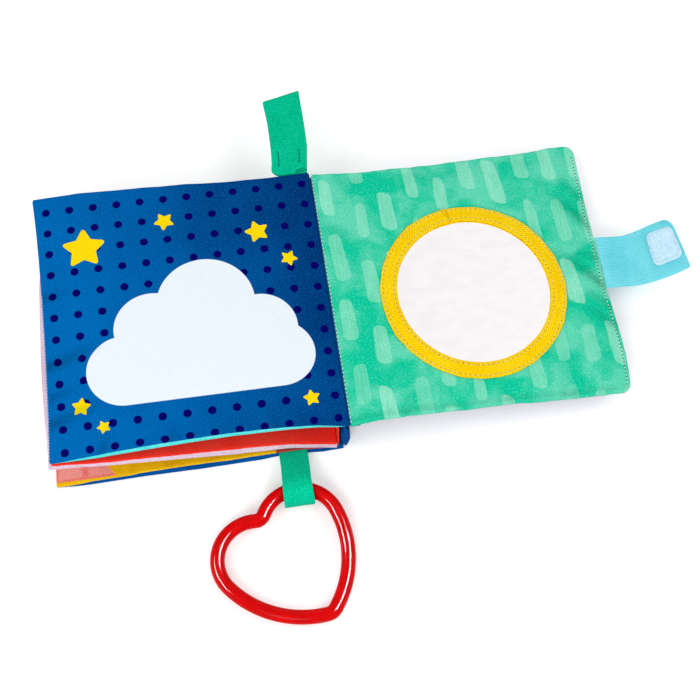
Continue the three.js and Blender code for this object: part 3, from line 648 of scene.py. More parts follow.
class Panel:
    """A padded cloth panel: two printed cloths sewn round their rim over a pad, swollen and puckered."""

    def __init__(self, name, place, size, corners, crowns, shoulder, hem=4.0, rim=PANEL_RIM, step=2.8,
                 cross_step=4.2, draw=DRAW, swell=(0.25, 0.35), pucker=0.3, seed=1, recess=None, foot=None,
                 head=None, fore=None, creases=(), groove=None, end_fill=1.0, half=HEM_HALF, waves=RIPPLES):
        self.name, self.place = name, place
        width, height = size
        # The grid, with rounded corners and sides that draw in between them
        s, t = np.meshgrid(stations(width, rim, step), stations(height, PANEL_RIM, cross_step), indexing="ij")
        low, share = np.minimum(t, height - t), s / width
        root_cut, fore_cut = corner_cut(low, corners[0]), corner_cut(low, corners[1])
        u = root_cut + share * (width - root_cut - fore_cut)
        v = t - height / 2
        u = u - draw * share ** 4 * (1 - (2 * v / height) ** 2)
        v = v * (1 - 8 * draw / height * share * (1 - share))
        # Both cloths over the pad, crowned inside the hem
        from_side = np.minimum(s, width - s)
        edge, padded = np.minimum(from_side, low), np.minimum(from_side, low * end_fill)
        crown = 1 - (1 - np.clip((padded - hem) / (shoulder - hem), 0, 1)) ** 2
        body = rim_half(edge, half)
        base = np.stack([u, v, np.zeros_like(u)], -1)
        up, down = (body + rise * crown for rise in crowns)
        points, faces, slots, inner = shell(base, UP, up, down, place.sign)
        flat, near_end, s_all, t_all = (on_both(grid, inner) for grid in (edge, low, s, t))
        facing = np.concatenate([np.ones(u.size), -np.ones(inner.sum())])
        lower = facing < 0
        allowed = np.where(lower, swell[1] if crowns[1] > 0 else 0.0, swell[0])
        moved = swollen(points, faces, flat <= hem + 0.3) - points
        reach = np.clip((flat - hem) / SWELL_RUN, 0, 1) * allowed
        points[:, 2] += np.clip(moved[:, 2] * facing, -reach, reach) * facing
        shift = np.clip(moved[:, :2], -SHIFT_LIMIT, SHIFT_LIMIT)
        points[:, :2] += shift * np.clip((flat - hem) / SHIFT_RUN, 0, 1)[:, None]
        # Puckers along the two ends
        across, end = points[:, 0], np.sign(points[:, 1])
        fold = ripple(across, seed, waves) * (end > 0) + ripple(across, seed + 50, waves) * (end < 0)
        fade = np.clip(near_end / PUCKER_GROW, 0, 1)
        fade *= np.exp(-np.clip(near_end - PUCKER_PEAK, 0, None) / PUCKER_FADE)
        points[:, 2] += pucker * fold * fade * np.clip(flat / 3, 0, 1) * facing * (allowed > 0)
        points[:, 1] += RIM_WANDER * pucker * ripple(across, seed + 7) * np.exp(-near_end / RIM_FADE) * end
        # Creases and the groove of the foot's seam press the upper cloth down
        pressed = np.zeros(len(points))
        for where in creases:
            pressed += crease(points, *where)
        if groove is not None:
            inside, deep, wide = groove
            uneven = GROOVE_MEAN + GROOVE_UNEVEN * ripple(across, seed + 90, FOOT_RIPPLES)
            pressed += deep * uneven * np.exp(-((t_all - inside) / wide) ** 2)
        pressed *= ~lower * np.clip(flat / 1.5, 0, 1)
        points[:, 2] -= pressed
        # how deep each point is pressed, kept as painted shade for the cloth's colour
        self.painted_crease_shade = np.clip(pressed / DEEP_FOLD, 0, 1)
        # How the edges lie, and the flat underside with the place for a patch
        sides = ((fore, t_all - height / 2, width - s_all, 0, 1), (foot, s_all / width, t_all, 1, -1),
                 (head, s_all / width, height - t_all, 1, 1))
        for side, along, away, axis, outward in sides:
            if side is not None:
                side.lay(points, along, away, axis, outward, lower)
        if crowns[1] == 0:
            points[:, 2] = np.maximum(points[:, 2], -HEM_HALF)
        if recess is not None:
            x0, x1, y0, y1, depth = recess
            outside = np.maximum(np.maximum(x0 - points[:, 0], points[:, 0] - x1),
                                 np.maximum(y0 - points[:, 1], points[:, 1] - y1))
            points[:, 2] += lower * depth * np.clip(1 - outside / 3.0, 0, 1)
        self.points, self.faces, self.slots = points, faces, slots
        self.fore_rim = points[u.size - u.shape[1]:u.size, :2]
        self.uv = points[:, :2] + (0, height / 2)
        if place.sign < 0:
            self.uv[:, 0] = width - self.uv[:, 0]
        self.tree = BVHTree.FromPolygons(points.tolist(), faces)

    def piece(self, materials, fill, slot, body, *nodes):
        made = new_piece(self.name, self.place.out(self.points), self.faces, materials, self.slots, self.uv)
        # the pressed depth goes to the cloth's colour as painted shade
        fold = made.data.attributes.new("fold", "FLOAT", "POINT")
        fold.data.foreach_set("value", self.painted_crease_shade.astype(np.float32))
        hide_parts(*nodes)
        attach(made, body)

    def on(self, spots, side=1):
        """Points and normals on the upper (1) or lower (-1) cloth for (u, v) spots."""
        return touched(self.tree, self.place, spots, side)


STITCH_SIDES, STITCH_RINGS = 6, 5


def stitches(name, rows, materials, length=1.7, pitch=2.5, thick=0.24, holes=True, hole=0.3):
    """Threads that dip at both ends, each with a needle hole after it shown as a dark disc of painted shade, along
    rows of (points, normals).
    """
    points, faces, slots, uv = [], [], [], []
    turns = [math.tau * k / STITCH_SIDES for k in range(STITCH_SIDES)]
    spokes = [(math.cos(turn), math.sin(turn)) for turn in turns]

    def run(rings, slot):
        """A tube with closed ends through rings of points."""
        start, count = len(points), len(rings[0])
        for number, ring in enumerate(rings):
            points.extend(ring)
            uv.extend((number * 0.5 + start * 0.01, 0.3 * k) for k in range(count))
        for r in range(len(rings) - 1):
            for k in range(count):
                a, b = start + r * count + k, start + r * count + (k + 1) % count
                faces.append((a, b, b + count, a + count))
        faces.append(tuple(start + k for k in reversed(range(count))))
        faces.append(tuple(start + (len(rings) - 1) * count + k for k in range(count)))
        slots.extend([slot] * (len(faces) - len(slots)))

    for path, normals in rows:
        gone = travelled(path)
        for centre in np.arange(pitch / 2, gone[-1], pitch):
            first, last = (sample(centre + offset, gone, path) for offset in (-length / 2, length / 2))
            normal = sample(centre, gone, normals)
            normal /= np.linalg.norm(normal)
            along = (last - first) / np.linalg.norm(last - first)
            across = np.cross(normal, along)
            middle = (first + last) / 2
            rings = []
            for f in np.linspace(0, 1, STITCH_RINGS):
                bulge = math.sin(math.pi * f)
                spot = middle + along * length * (f - 0.5) + normal * (thick * (1.15 * bulge - 0.35))
                reach = thick * (0.55 + 0.45 * bulge)
                rings.append([spot + reach * (c * across + 0.8 * s * normal) for c, s in spokes])
            run(rings, 0)
            if holes:
                # the needle hole is a dark disc: painted shade
                spot = middle + along * (2 * length + pitch) / 4
                rims = ((-0.12, 0.5 * hole), (0.05, hole), (0.09, 0.5 * hole))
                run([[spot + normal * lift + radius * (0.8 * c * across - s * along)
                      for c, s in reversed(spokes)] for lift, radius in rims], 1)
    return new_piece(name, points, faces, materials, slots, np.array(uv))


# Camera, floor and light

SENSOR, PHOTO_SIDE, FOCAL = 36, 700, 1548.834  # the sensor in millimetres, the other two in pixels
AZIMUTH, ELEVATION = math.radians(-8.533), math.radians(65.72)
CAMERA_AIM, CAMERA_RANGE = Vector((86.925, -21.36, 0)), 838.714
LAMP_AIM = Vector((0.08, -0.02, 0))
LAMPS = (  # name, place, size and power; those named gloss light only the heart
    ("front", (-0.3, -1.02, 0.88), (0.6, 0.6), 7.3),
    ("left", (-0.75, -0.2, 0.75), (0.6, 0.5), 2.9),
    ("right", (0.9, -0.15, 0.85), (0.6, 0.5), 3.9),
    ("head", (0.1, 1.25, 0.9), (1.2, 0.4), 4.3),
    ("left_gloss", (-0.66, -0.12, 0.71), (0.6, 0.26), 96.0),
    ("right_gloss", (0.57, -0.12, 0.85), (0.6, 0.4), 168.0),
)
GLOSSY = bpy.data.collections.new("glossy_plastic")
WHITE = (1, 1, 1, 1)
FLOOR_GREY = (0.86, 0.86, 0.86, 1)
FLOOR_REACH, FLOOR_LEVEL = 4000.0, -0.05


def make_camera():
    level = math.cos(ELEVATION)
    back = Vector((math.sin(AZIMUTH) * level, -math.cos(AZIMUTH) * level, math.sin(ELEVATION)))
    right = Vector((math.cos(AZIMUTH), math.sin(AZIMUTH), 0))
    data = bpy.data.cameras.new("camera")
    data.sensor_width = SENSOR
    data.lens = FOCAL * SENSOR / PHOTO_SIDE
    data.clip_start, data.clip_end = 0.05, 20
    camera = linked("camera", data)
    turned = Matrix((right, back.cross(right), back)).transposed().to_4x4()
    camera.matrix_world = Matrix.Translation(CAMERA_AIM * MM + back * CAMERA_RANGE * MM) @ turned
    bpy.context.scene.camera = camera


def backdrop_ray(g):
    """One where a ray comes straight from the camera or by gloss or glass."""
    rays = g.add("LightPath").outputs
    seen = g.math("MAXIMUM", rays["Is Camera Ray"], rays["Is Glossy Ray"])
    return g.math("MAXIMUM", seen, rays["Is Transmission Ray"])


def make_floor():
    """A pale floor that keeps the shadow and glows to white further out."""
    g = Shade("floor")
    diffuse, glow, both = g.add("BsdfDiffuse"), g.add("Emission"), g.add("AddShader")
    diffuse.inputs[0].default_value = FLOOR_GREY
    away = g.vector("LENGTH", g.node("TexCoord", out="Object"))
    g.feed(glow.inputs[1], backdrop_ray(g) * g.between(away, 0.5, 2.2, 0.32, 1.0))
    g.feed(both.inputs[0], diffuse.outputs[0])
    g.feed(both.inputs[1], glow.outputs[0])
    g.feed(g.add("OutputMaterial").inputs[0], both.outputs[0])
    sides = ((-1, -1), (1, -1), (1, 1), (-1, 1))
    corners = [(x * FLOOR_REACH, y * FLOOR_REACH, FLOOR_LEVEL) for x, y in sides]
    new_piece("floor", corners, [(0, 1, 2, 3)], [g.material])


def make_light():
    world = bpy.data.worlds.new("studio")
    bpy.context.scene.world = world
    world.use_nodes = True
    g = Shade("studio", world.node_tree)
    x, y = g.split(g.node("TexCoord", out="Generated"))
    backdrop = g.between(x * 0.8 - y * 0.6, -0.36, 0.12, 0.88, 1.0)
    sky = g.add("Background")
    sky.inputs[0].default_value = WHITE
    g.feed(sky.inputs[1], g.between(backdrop_ray(g), 0, 1, 0.4, backdrop))
    g.feed(g.add("OutputWorld").inputs[0], sky.outputs[0])
    for name, place, size, power in LAMPS:
        data = bpy.data.lights.new(name, "AREA")
        data.shape = "RECTANGLE"
        data.size, data.size_y = size
        data.energy = power
        lamp = linked(name, data)
        lamp.location = place
        lamp.rotation_euler = (LAMP_AIM - Vector(place)).to_track_quat("-Z", "Y").to_euler()
        if name.endswith("gloss"):
            lamp.visible_diffuse = False
            lamp.light_linking.receiver_collection = GLOSSY


make_camera()
make_floor()
make_light()


# Panels

FRONT_FOOT = Edge((0, 0.08, 0.12, 0.24, 0.29, 0.4, 0.5, 0.68, 0.75, 0.88, 0.94, 1),
                  pull=(-0.6, -1.1, -0.8, -0.8, -1.1, -1.5, -1.4, -1.45, -1.9, -1.7, -2.2, -2.0),
                  lift=1.75, roll=(1.0, 1.4, 1.2, 1.2, 1.9, 1.8, 2.2, 1.65, 1.1, 1.1, 0.55, 0), drop=1.9)
MIDDLE_FOOT = Edge((0, 0.06, 0.17, 0.28, 0.38, 0.49, 0.59, 0.73, 0.8, 0.86, 0.91, 0.96, 1),
                   pull=(0.6, 1.0, 1.9, 1.5, 1.0, 0.6, 0.3, 0.2, 0.1, 0.35, 0.65, 1.2, 1.2),
                   roll=(1.4, 1.3, 1.5, 2.0, 2.15, 1.9, 1.55, 1.4, 1.15, 1.05, 0.95, 1.0, 0.8), drop=1.6)
MIDDLE_FORE = Edge((-76, -60, -43, -26, -9, 8, 26, 42, 76),
                   pull=(0.6, 0.6, 0.9, 0.9, 1.2, 1.4, 1.8, 2.3, 2.3),
                   roll=(1.2, 1.7, 2.7, 2.9, 2.7, 2.2, 1.6, 0, 0), drop=1.2)
TOP_FOOT = Edge((0, 0.025, 0.05, 0.1, 0.2, 0.3, 0.4, 0.5, 0.6, 0.68, 0.81, 0.88, 0.93, 1),
                pull=(1.5, 1.9, 2.3, 3.2, 3.6, 3.6, 3.6, 3.3, 3.0, 2.7, 2.4, 2.1, 1.9, 1.75),
                lift=(0, 0.25, 0.5, 1.0, 1.7, 2.3, 2.6, 2.6, 2.6, 2.5, 1.5, 0.9, 0.6, 0),
                roll=(0, 0.5, 0.7, 0.8, 0.9, 1.0, 1.1, 1.2, 1.3, 1.3, 1.2, 0.9, 0.6, 0), drop=0.9)
TOP_HEAD = Edge((0, 0.17, 0.23, 0.28, 0.34, 0.39, 0.45, 0.55, 0.61, 0.72, 0.83, 0.88, 0.935, 1),
                pull=(0, -0.5, -1.0, -1.1, -1.5, -2.0, -2.8, -3.0, -3.4, -3.5, -3.9, -3.5, -3.1, -2.6),
                lift=(0, 0.2, 0.3, 0.4, 0.6, 0.8, 1.0, 1.2, 1.4, 1.4, 1.4, 1.2, 1.0, 0.6))
TOP_FORE = Edge((-76, -61, -45, -28, -11, 6, 24, 42, 61, 76),
                pull=(-2.0, -1.8, -1.6, -1.55, -1.25, -1.1, -0.8, -0.5, -0.4, -0.6))
BACK_FOOT = Edge((0, 0.08, 0.3, 0.37, 0.45, 0.52, 0.59, 0.66, 0.81, 0.88, 0.95, 1),
                 pull=(0, 1.2, 1.2, 0.8, 0.8, 1.2, 1.2, 0.8, 0.8, 1.2, 1.8, 1.8))
BACK_HEAD = Edge((0, 0.085, 0.16, 0.24, 0.32, 0.47, 0.55, 0.625, 0.78, 0.86, 0.935, 1),
                 pull=(0.5, 0.6, 1.0, 0.6, 0, -0.3, -1.0, -1.6, -2.0, -2.5, -3.4, -3.4))
BACK_FORE = Edge((-75, -71, -64, -52, -40, -21, -15, 20, 38, 75),
                 pull=(0.5, 0.4, -0.6, -1.6, -1.6, -1.0, -0.5, 0, 0.6, 0.8))
SPINE_FOOT = Edge((0, 0.15, 1), pull=(-0.6, -1.5, -1.2))
# Each crease runs from its first place to its second, with its depth and width after them
PAGE_CREASES = (
    ((151, -22), (120, -12), 1.3, 3.0), ((151, -55), (122, -46), 1.3, 2.8),
    ((151, -40), (132, -34), 1.0, 2.6), ((151, 18), (133, 23), 0.9, 2.8),
    ((36, -76), (40, -60), 0.7, 2.8), ((92, -76), (88, -62), 0.7, 2.8),
    ((126, -76), (120, -60), 0.9, 2.8),
)
COVER_CREASES = (
    ((151, -12), (126, 14), 1.6, 2.6), ((151, 25), (131, 48), 1.5, 2.6),
    ((151, -36), (132, -20), 1.2, 2.4), ((151, 8), (134, 10), 0.9, 2.2),
    ((151, -24), (136, -12), 1.0, 2.0), ((151, 40), (136, 58), 0.9, 2.2),
    ((30, -75), (34, -60), 0.4, 3.2), ((84, -75), (80, -62), 0.4, 3.0),
    ((118, -75), (112, -60), 0.45, 3.2), ((56, 75), (60, 62), 0.35, 3.0),
    ((6, 40), (22, 30), 0.3, 3.4),
)

front = Panel("front_cover_panel", FRONT, COVER, (1.2, 1.5), (3.0, 0.0), 34.0, swell=(0.3, 0.0), pucker=0.22,
              seed=3, recess=(121.0, 143.0, -4.0, 16.0, 0.75), foot=FRONT_FOOT)
front.piece([SALMON, COVER_BLUE], 0.5, "salmon_cloth", "front_cover",
            "front_cover_inner_cloth", "front_cover_outer_cloth", "front_cover_pad")
spine = Panel("spine_panel", SPINE, (SPINE_HEIGHT, COVER[1]), (1.2, 1.2), (1.75, 1.75), 8.0, hem=2.4,
              rim=SPINE_RIM, step=3.0, draw=0.3, swell=(0.2, 0.15), pucker=0.0, seed=5, foot=SPINE_FOOT,
              end_fill=4.0)
spine.piece([COVER_BLUE, COVER_BLUE], 0.6, "cover_cloth", "front_cover",
            "spine_outer_cloth", "spine_inner_cloth", "spine_pad")
middle = Panel("middle_leaf_panel", MIDDLE, (MIDDLE_WIDTH, PAGE[1]), (1.2, 1.5), (1.6, 1.6), 34.0,
               swell=(0.25, 0.25), pucker=0.2, seed=9, foot=MIDDLE_FOOT, fore=MIDDLE_FORE)
middle.piece([RED, LAVENDER], 0.4, "red_cloth", "middle_leaf",
             "middle_leaf_upper_cloth", "middle_leaf_lower_cloth", "middle_leaf_pad")
top = Panel("top_leaf_panel", TOP, PAGE, (1.2, 1.5), (2.2, 1.2), 34.0, swell=(0.35, 0.25), pucker=0.22,
            seed=13, foot=TOP_FOOT, head=TOP_HEAD, fore=TOP_FORE, creases=PAGE_CREASES, step=2.4,
            cross_step=2.6)
top.piece([NIGHT, TURQUOISE], 0.45, "blue_cloth", "top_leaf",
          "top_leaf_upper_cloth", "top_leaf_lower_cloth", "top_leaf_pad")
cover = Panel("back_cover_panel", BACK_SEAM, COVER, (1.2, 6.0), (1.35, 2.15), 17.0, swell=(0.2, 0.4),
              pucker=0.62, seed=21, foot=BACK_FOOT, head=BACK_HEAD, fore=BACK_FORE, creases=COVER_CREASES,
              groove=(3.4, 0.6, 1.3), half=1.2, step=2.0, cross_step=2.4, waves=(23.0, 14.0, 9.0, 6.6))
cover.piece([GREEN, COVER_BLUE], 0.5, "green_cloth", "back_cover",
            "back_cover_inner_cloth", "back_cover_outer_cloth", "back_cover_pad")


# Bent strips of cloth and webbing

ROW = Place((0, 0, 0), (1, 0, 0), (0, 1, 0), (0, 0, 1))
END_RIM = np.array([0, 0.22, 0.5])
MIN_STEP = 0.03


def left_normals(path):
    """Unit normals of a path in a plane, to the left of it."""
    tangent = np.gradient(path, axis=0)
    tangent /= np.linalg.norm(tangent, axis=1)[:, None]
    return np.stack([-tangent[:, 1], tangent[:, 0]], -1)


def evenly(path, step, ease):
    """A path's points at even steps, with its kinks eased a number of times, and its length."""
    gone = travelled(path)
    out = sample(np.linspace(0, gone[-1], max(4, round(gone[-1] / step)) + 1), gone, path)
    for _ in range(ease):
        out[1:-1] = (out[:-2] + 2 * out[1:-1] + out[2:]) / 4
    return out, gone[-1]


def strip(name, place, path, across, thickness, materials, rim=(0, 0.22, 0.5, 1.2), step=1.4, cross_step=2.4,
          shape=None, ease=3, sampled=False):
    """A closed band of cloth and its length. Its path is (u, w) in a place, taken as it is if sampled;
    across is its edges in v, thickness one value or a table along it, and shape may move its points."""
    if sampled:
        middle_line, gone = path, travelled(path)
        length = gone[-1]
    else:
        middle_line, length = evenly(path, step, ease)
        gone = np.linspace(0, length, len(middle_line))
    at = np.concatenate([END_RIM, gone[1:-1], length - END_RIM[::-1]])
    at = at[np.concatenate([[True], np.diff(at) > MIN_STEP])]
    half = np.interp(at, *thickness)[:, None] / 2 if isinstance(thickness, tuple) else thickness / 2
    line_at, normal_at = sample(at, gone, middle_line), sample(at, gone, left_normals(middle_line))
    normal_at /= np.linalg.norm(normal_at, axis=1)[:, None]
    low, high = across
    v = low + stations(high - low, rim, cross_step)[None, :]
    edge = np.minimum(np.minimum(at, length - at)[:, None], np.minimum(v - low, high - v))
    base = np.stack(np.broadcast_arrays(line_at[:, :1], v, line_at[:, 1:]), -1)
    normal = np.stack(np.broadcast_arrays(normal_at[:, :1], 0 * v, normal_at[:, 1:]), -1)
    body = rim_half(edge, half)
    points, faces, slots, inner = shell(base, normal, body, body, place.sign)
    uv = on_both(np.stack(np.broadcast_arrays(at[:, None], v), -1), inner)
    if shape is not None:
        points = shape(points, uv)
    return new_piece(name, place.out(points), faces, materials, slots, uv), length


def folded_path(length, eye, layer=0.7, webbing=1.0, taut=False):
    """Two layers of webbing from a seam that open round an eye at the fold; taut, the upper runs straight."""
    radius, spread = eye + webbing / 2, math.radians(30)
    fork = length - radius * math.sin(spread) - (radius * math.cos(spread) - layer) / math.tan(spread)
    upper = [(0, layer)] if taut else [(0, layer), (fork, layer)]
    meets = 90 + math.degrees(math.asin((radius - layer) / length)) if taut else 120
    return np.concatenate([upper, arc((length, 0), radius, meets, -120), [(fork, -layer), (0, -layer)]])


def out_along_y(origin, sign, degrees):
    """A place whose u runs out along +Y or -Y, lifted, with v across along X and w upwards."""
    c, s = math.cos(math.radians(degrees)), math.sin(math.radians(degrees))
    return Place(origin, (0, sign * c, s), (1, 0, 0), (0, -sign * s, c))


LOOP_HALF, LOOP_REACH, LOOP_TOP = 9.5, 46.0, 1.22
WEBBING_THICK = 0.95


def slanted(points, _=None):
    """The hanging loop's fold is cut a little askew, and its sides bow and pull in at the seam."""
    u, v = points[:, 0], points[:, 1]
    reach = np.clip(u / LOOP_REACH, 0, 1)
    to_right = v / (2 * LOOP_HALF) + 0.5
    right_bow = np.interp(u, (3, 8, 15, 25, 46), (0, 0.5, 1.4, 1.6, 2.0))
    left_bow = np.interp(u, (0, 1.0, 2.2, 4, 8, 15, 35, 46), (3.2, 1.0, -0.5, -1.2, -0.5, 0, 0.5, 0.2))
    out = points.copy()
    out[:, 0] += (0.085 * v + 0.15 * (v + LOOP_HALF)) * reach
    out[:, 1] = v * (1 - 0.05 * np.exp(-u / 5.0)) + 0.5 * np.sin(math.pi * reach) - 0.35 * reach
    out[:, 1] += right_bow * to_right + left_bow * (1 - to_right)
    out[:, 2] += 0.22 * np.sin(u / 9.0) * np.sin(v / 7.0 + 0.6)
    return out


def draped(points, _):
    """The ring strap hangs a little slack past the heart's tube."""
    u, v = points[:, 0], points[:, 1]
    slack = np.clip((u - 17.0) / 12.0, 0, 1) ** 1.5
    out = points.copy()
    out[:, 0] += 2.4 * slack
    out[:, 1] = v * (1 + 0.05 * slack) + 0.25 * np.sin(u / 6.0 + 0.5)
    out[:, 2] += 0.12 * np.sin(v / 3.1 + 1.0) * np.clip(u / 8.0, 0, 1)
    return out


def cut_back(points, uv):
    """The gutter strip's flap is cut back at the front, so that it ends under the top leaf."""
    out = points.copy()
    flap = np.clip((uv[:, 0] - 17.5) / 2.5, 0, 1)
    front = np.clip((-60.0 - uv[:, 1]) / 15.4, 0, 1)
    out[:, 1] += 5.0 * flap * front
    return out


LOOP = out_along_y((68.75, 76.7, 25.75), 1, 4.0)
loop, loop_length = strip("hanging_loop_webbing", LOOP, folded_path(46.2, 1.5), (-LOOP_HALF, LOOP_HALF),
                          WEBBING_THICK, [LOOP_WEBBING, LOOP_WEBBING], shape=slanted)
loop_length * MM
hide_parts("hanging_loop")
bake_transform(loop)


def loop_row(start, end, count=24):
    """Points and normals of a row sewn on the loop's upper layer, from its (u, v) places."""
    spots = line((*start, LOOP_TOP), (*end, LOOP_TOP), count)
    return LOOP.out(slanted(spots)), np.broadcast_to(LOOP.axes[2], (count, 3))


loop_rows = [loop_row((4.5, -5.4), (14.0, -5.9)), loop_row((5.5, 5.4), (13.5, 5.2)),
             loop_row((0.3, 1.0), (1.3, 8.4)), loop_row((1.5, 2.0), (2.5, 8.0))]
loop_seam = stitches("hanging_loop_stitching", loop_rows, [GREEN_THREAD, HOLE_SHADE_GREEN], 0.8, 1.65, 0.16,
                     hole=0.46)
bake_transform(loop_seam)

STRAP = out_along_y((48.4, -75.5, 1.4), -1, 13.147)
strap, strap_length = strip("ring_strap_webbing", STRAP, folded_path(24.4, 5.75, taut=True), (-7.5, 7.5),
                            WEBBING_THICK, [STRAP_WEBBING, STRAP_WEBBING], shape=draped, ease=12)
strap_length * MM
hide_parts("ring_strap")
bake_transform(strap)

STRIP_WALL, STRIP_FLAP, STRIP_BEND = 72.8, 24.05, 1.6
bend_centre = (STRIP_WALL + STRIP_BEND, STRIP_FLAP - STRIP_BEND)
gutter_path = np.concatenate([[(STRIP_WALL, 3.7), (STRIP_WALL, bend_centre[1])],
                              arc(bend_centre, STRIP_BEND, 180, 90, 8), [(77.3, STRIP_FLAP)]])
gutter, gutter_length = strip("gutter_strip_cloth", ROW, gutter_path, (-75.4, 74.0), 0.9, [RED, RED],
                              step=1.2, cross_step=6.0, shape=cut_back)
gutter_length * MM
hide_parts("middle_leaf_gutter_strip")
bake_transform(gutter)

WEB_BEND = 2.27  # the web lies on the outside of the strip's bend
web_path = np.concatenate([[(bend_centre[0] - WEB_BEND, 19.4)], arc(bend_centre, WEB_BEND, 180, 90, 8),
                           [(78.2, 24.74)]])
web, web_length = strip("gutter_web_cloth", ROW, web_path, (-73.5, 73.5), 0.3, [RED, TURQUOISE],
                        rim=(0, 0.15, 0.6), step=0.6, cross_step=8.0)
web_length * MM
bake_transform(web)

# The wrap rises beside the spine, turns in a hairpin under the hinge line and runs under the back cover
WRAP_THICKNESS = ((0, 5.2, 6.9, 11.4, 13.0, 17.0), (0.5, 0.5, 0.12, 0.12, 0.4, 0.4))
wrap_path = np.concatenate([line((78.3, 17.4), (78.45, 22.6), 9), line((78.48, 22.9), (78.7, 24.6), 4),
                            line((78.7, 24.9), (78.7, 26.3), 4), arc((78.91, 26.45), 0.21, 180, 0, 13),
                            line((79.12, 26.3), (79.1, 24.7), 5), [(79.25, 24.3), (79.7, 24.12)],
                            line((80.4, 24.08), (84.4, 23.8), 7)])
wrap, wrap_length = strip("spine_wrap_cloth", ROW, wrap_path, (-74.8, 73.0), WRAP_THICKNESS,
                          [COVER_BLUE, COVER_BLUE], rim=(0, 0.2, 0.7), cross_step=8.0, sampled=True)
wrap_length * MM
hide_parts("spine_hinge_band")
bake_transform(wrap)


# Closing tab and its fastener

TAB_BEND = 163.5
TAB_SHEAR = 0.125
TAB_SHORT = 0.9
TAB_AT = (0, 0.1, 0.2, 0.3, 0.4, 0.5, 0.6, 0.7, 0.8, 0.9, 1)
TAB_LOW_SIDE = (2.6, 2.75, 2.85, 2.95, 3.1, 3.25, 3.4, 3.4, 3.15, 2.3, 1.0)
TAB_HIGH_SIDE = (1.7, 1.85, 2.1, 2.4, 2.35, 1.95, 1.4, 0.75, 0.3, 0.1, 0)
TAB_END = TAB_FOLD + 0.15 + TAB_RUN
TAB_HALF, PATCH_HALF, PATCH_LIFT = 0.68, 0.32, 1.22
HOOK_PATCH = (179.0, 194.3, -2.3, 16.5)
LOOP_PATCH = (-67.5, -45.5, -4.0, 16.0)
PATCH_RIM = (0, 0.25, 0.7, 1.6, 3.0)
PATCH_STEP, PATCH_CORNER, SEAM_INSET = 1.7, 3.0, 1.3
PILE_HALF, PILE_LEVEL = 0.3, 0.33
GRADE_STEP = 0.05


def tab_height(u):
    s = np.clip((u - TAB_BEND) / (TAB_END - TAB_BEND), 0, 1)
    return TAB_RISE * s * s * (3 - 2 * s)


def tab_surface(u, v, lift=0.0):
    """Place and normal on the tab, lifted off its middle: sewn on low, its far edge askew, a little wavy."""
    progress = np.clip((u - TAB_START) / (TAB_END - TAB_START), 0, 1)
    u = u - TAB_SHEAR * (v - TAB_Y[0]) * progress ** 2 - TAB_SHORT * progress ** 2
    to_high = (v - TAB_Y[0]) / (TAB_Y[1] - TAB_Y[0])
    low_side, high_side = (np.interp(progress, TAB_AT, side) for side in (TAB_LOW_SIDE, TAB_HIGH_SIDE))
    v = v - low_side * (1 - to_high) - high_side * to_high
    height = tab_height(u) + 0.4 * np.sin(u / 7.0 + v / 11.0) * np.clip((u - TAB_START) / 12, 0, 1)
    grade = (tab_height(u + GRADE_STEP) - tab_height(u - GRADE_STEP)) / (2 * GRADE_STEP)
    normal = np.stack([-grade, np.zeros_like(u), np.ones_like(u)], -1)
    normal /= np.linalg.norm(normal, axis=-1)[..., None]
    return np.stack([u, v, COVER_SEAM_W + height], -1) + normal * lift, normal


def patch_grid(u0, u1, v0, v1, low_corner, high_corner, root_corner=0.0):
    """A patch's places with rounded corners, and their distance inside its edge."""
    width, height = u1 - u0, v1 - v0
    s, t = np.meshgrid(*(stations(side, PATCH_RIM, PATCH_STEP) for side in (width, height)), indexing="ij")
    fore_cut = np.maximum(corner_cut(t, low_corner), corner_cut(height - t, high_corner))
    root_cut = np.maximum(corner_cut(t, root_corner), corner_cut(height - t, root_corner))
    u = u0 + root_cut + s / width * (width - fore_cut - root_cut)
    return u, v0 + t, np.minimum(np.minimum(s, width - s), np.minimum(t, height - t))


def patch_piece(name, place, grid, surface, half, material):
    """A closed patch of cloth over a grid, on a surface that gives places and normals."""
    u, v, edge = grid
    body = rim_half(edge, half)
    points, faces, slots, inner = shell(*surface(u, v), body, body, place.sign)
    uv = on_both(np.stack([u, v], -1), inner)
    return new_piece(name, place.out(points), faces, [material] * 2, slots, uv)


fold_from, fold_to = BACK.out([(157.0, 6, -3.5), (163.5, 6, -3.3)]) * MM
tab = patch_piece("closure_tab_knit", BACK, patch_grid(TAB_START, TAB_END, *TAB_Y, 1.6, 5.5), tab_surface,
                  TAB_HALF, TAB_BLUE)
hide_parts("closure_tab_base", "closure_tab_strap")
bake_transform(tab)
patch = patch_piece("hook_patch", BACK, patch_grid(*HOOK_PATCH, *[PATCH_CORNER] * 3),
                    lambda u, v: tab_surface(u, v, PATCH_LIFT), PATCH_HALF, HOOK)
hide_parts("fastener_hook_patch")
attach(patch, "closure_tab")


def rounded_loop(u0, u1, v0, v1, radius):
    """A closed row of places along a rounded rectangle."""
    corners = ((u1 - radius, v1 - radius, 0), (u0 + radius, v1 - radius, 90), (u0 + radius, v0 + radius, 180),
               (u1 - radius, v0 + radius, 270))
    ring = np.concatenate([arc((x, y), radius, start, start + 90, 7) for x, y, start in corners])
    ring = np.concatenate([ring, ring[:1]])
    gone = travelled(ring)
    return sample(np.linspace(0, gone[-1], 120), gone, ring)


def tab_row(spots, lift):
    places, normals = tab_surface(spots[:, 0], spots[:, 1], lift)
    return BACK.out(places), normals @ BACK.axes


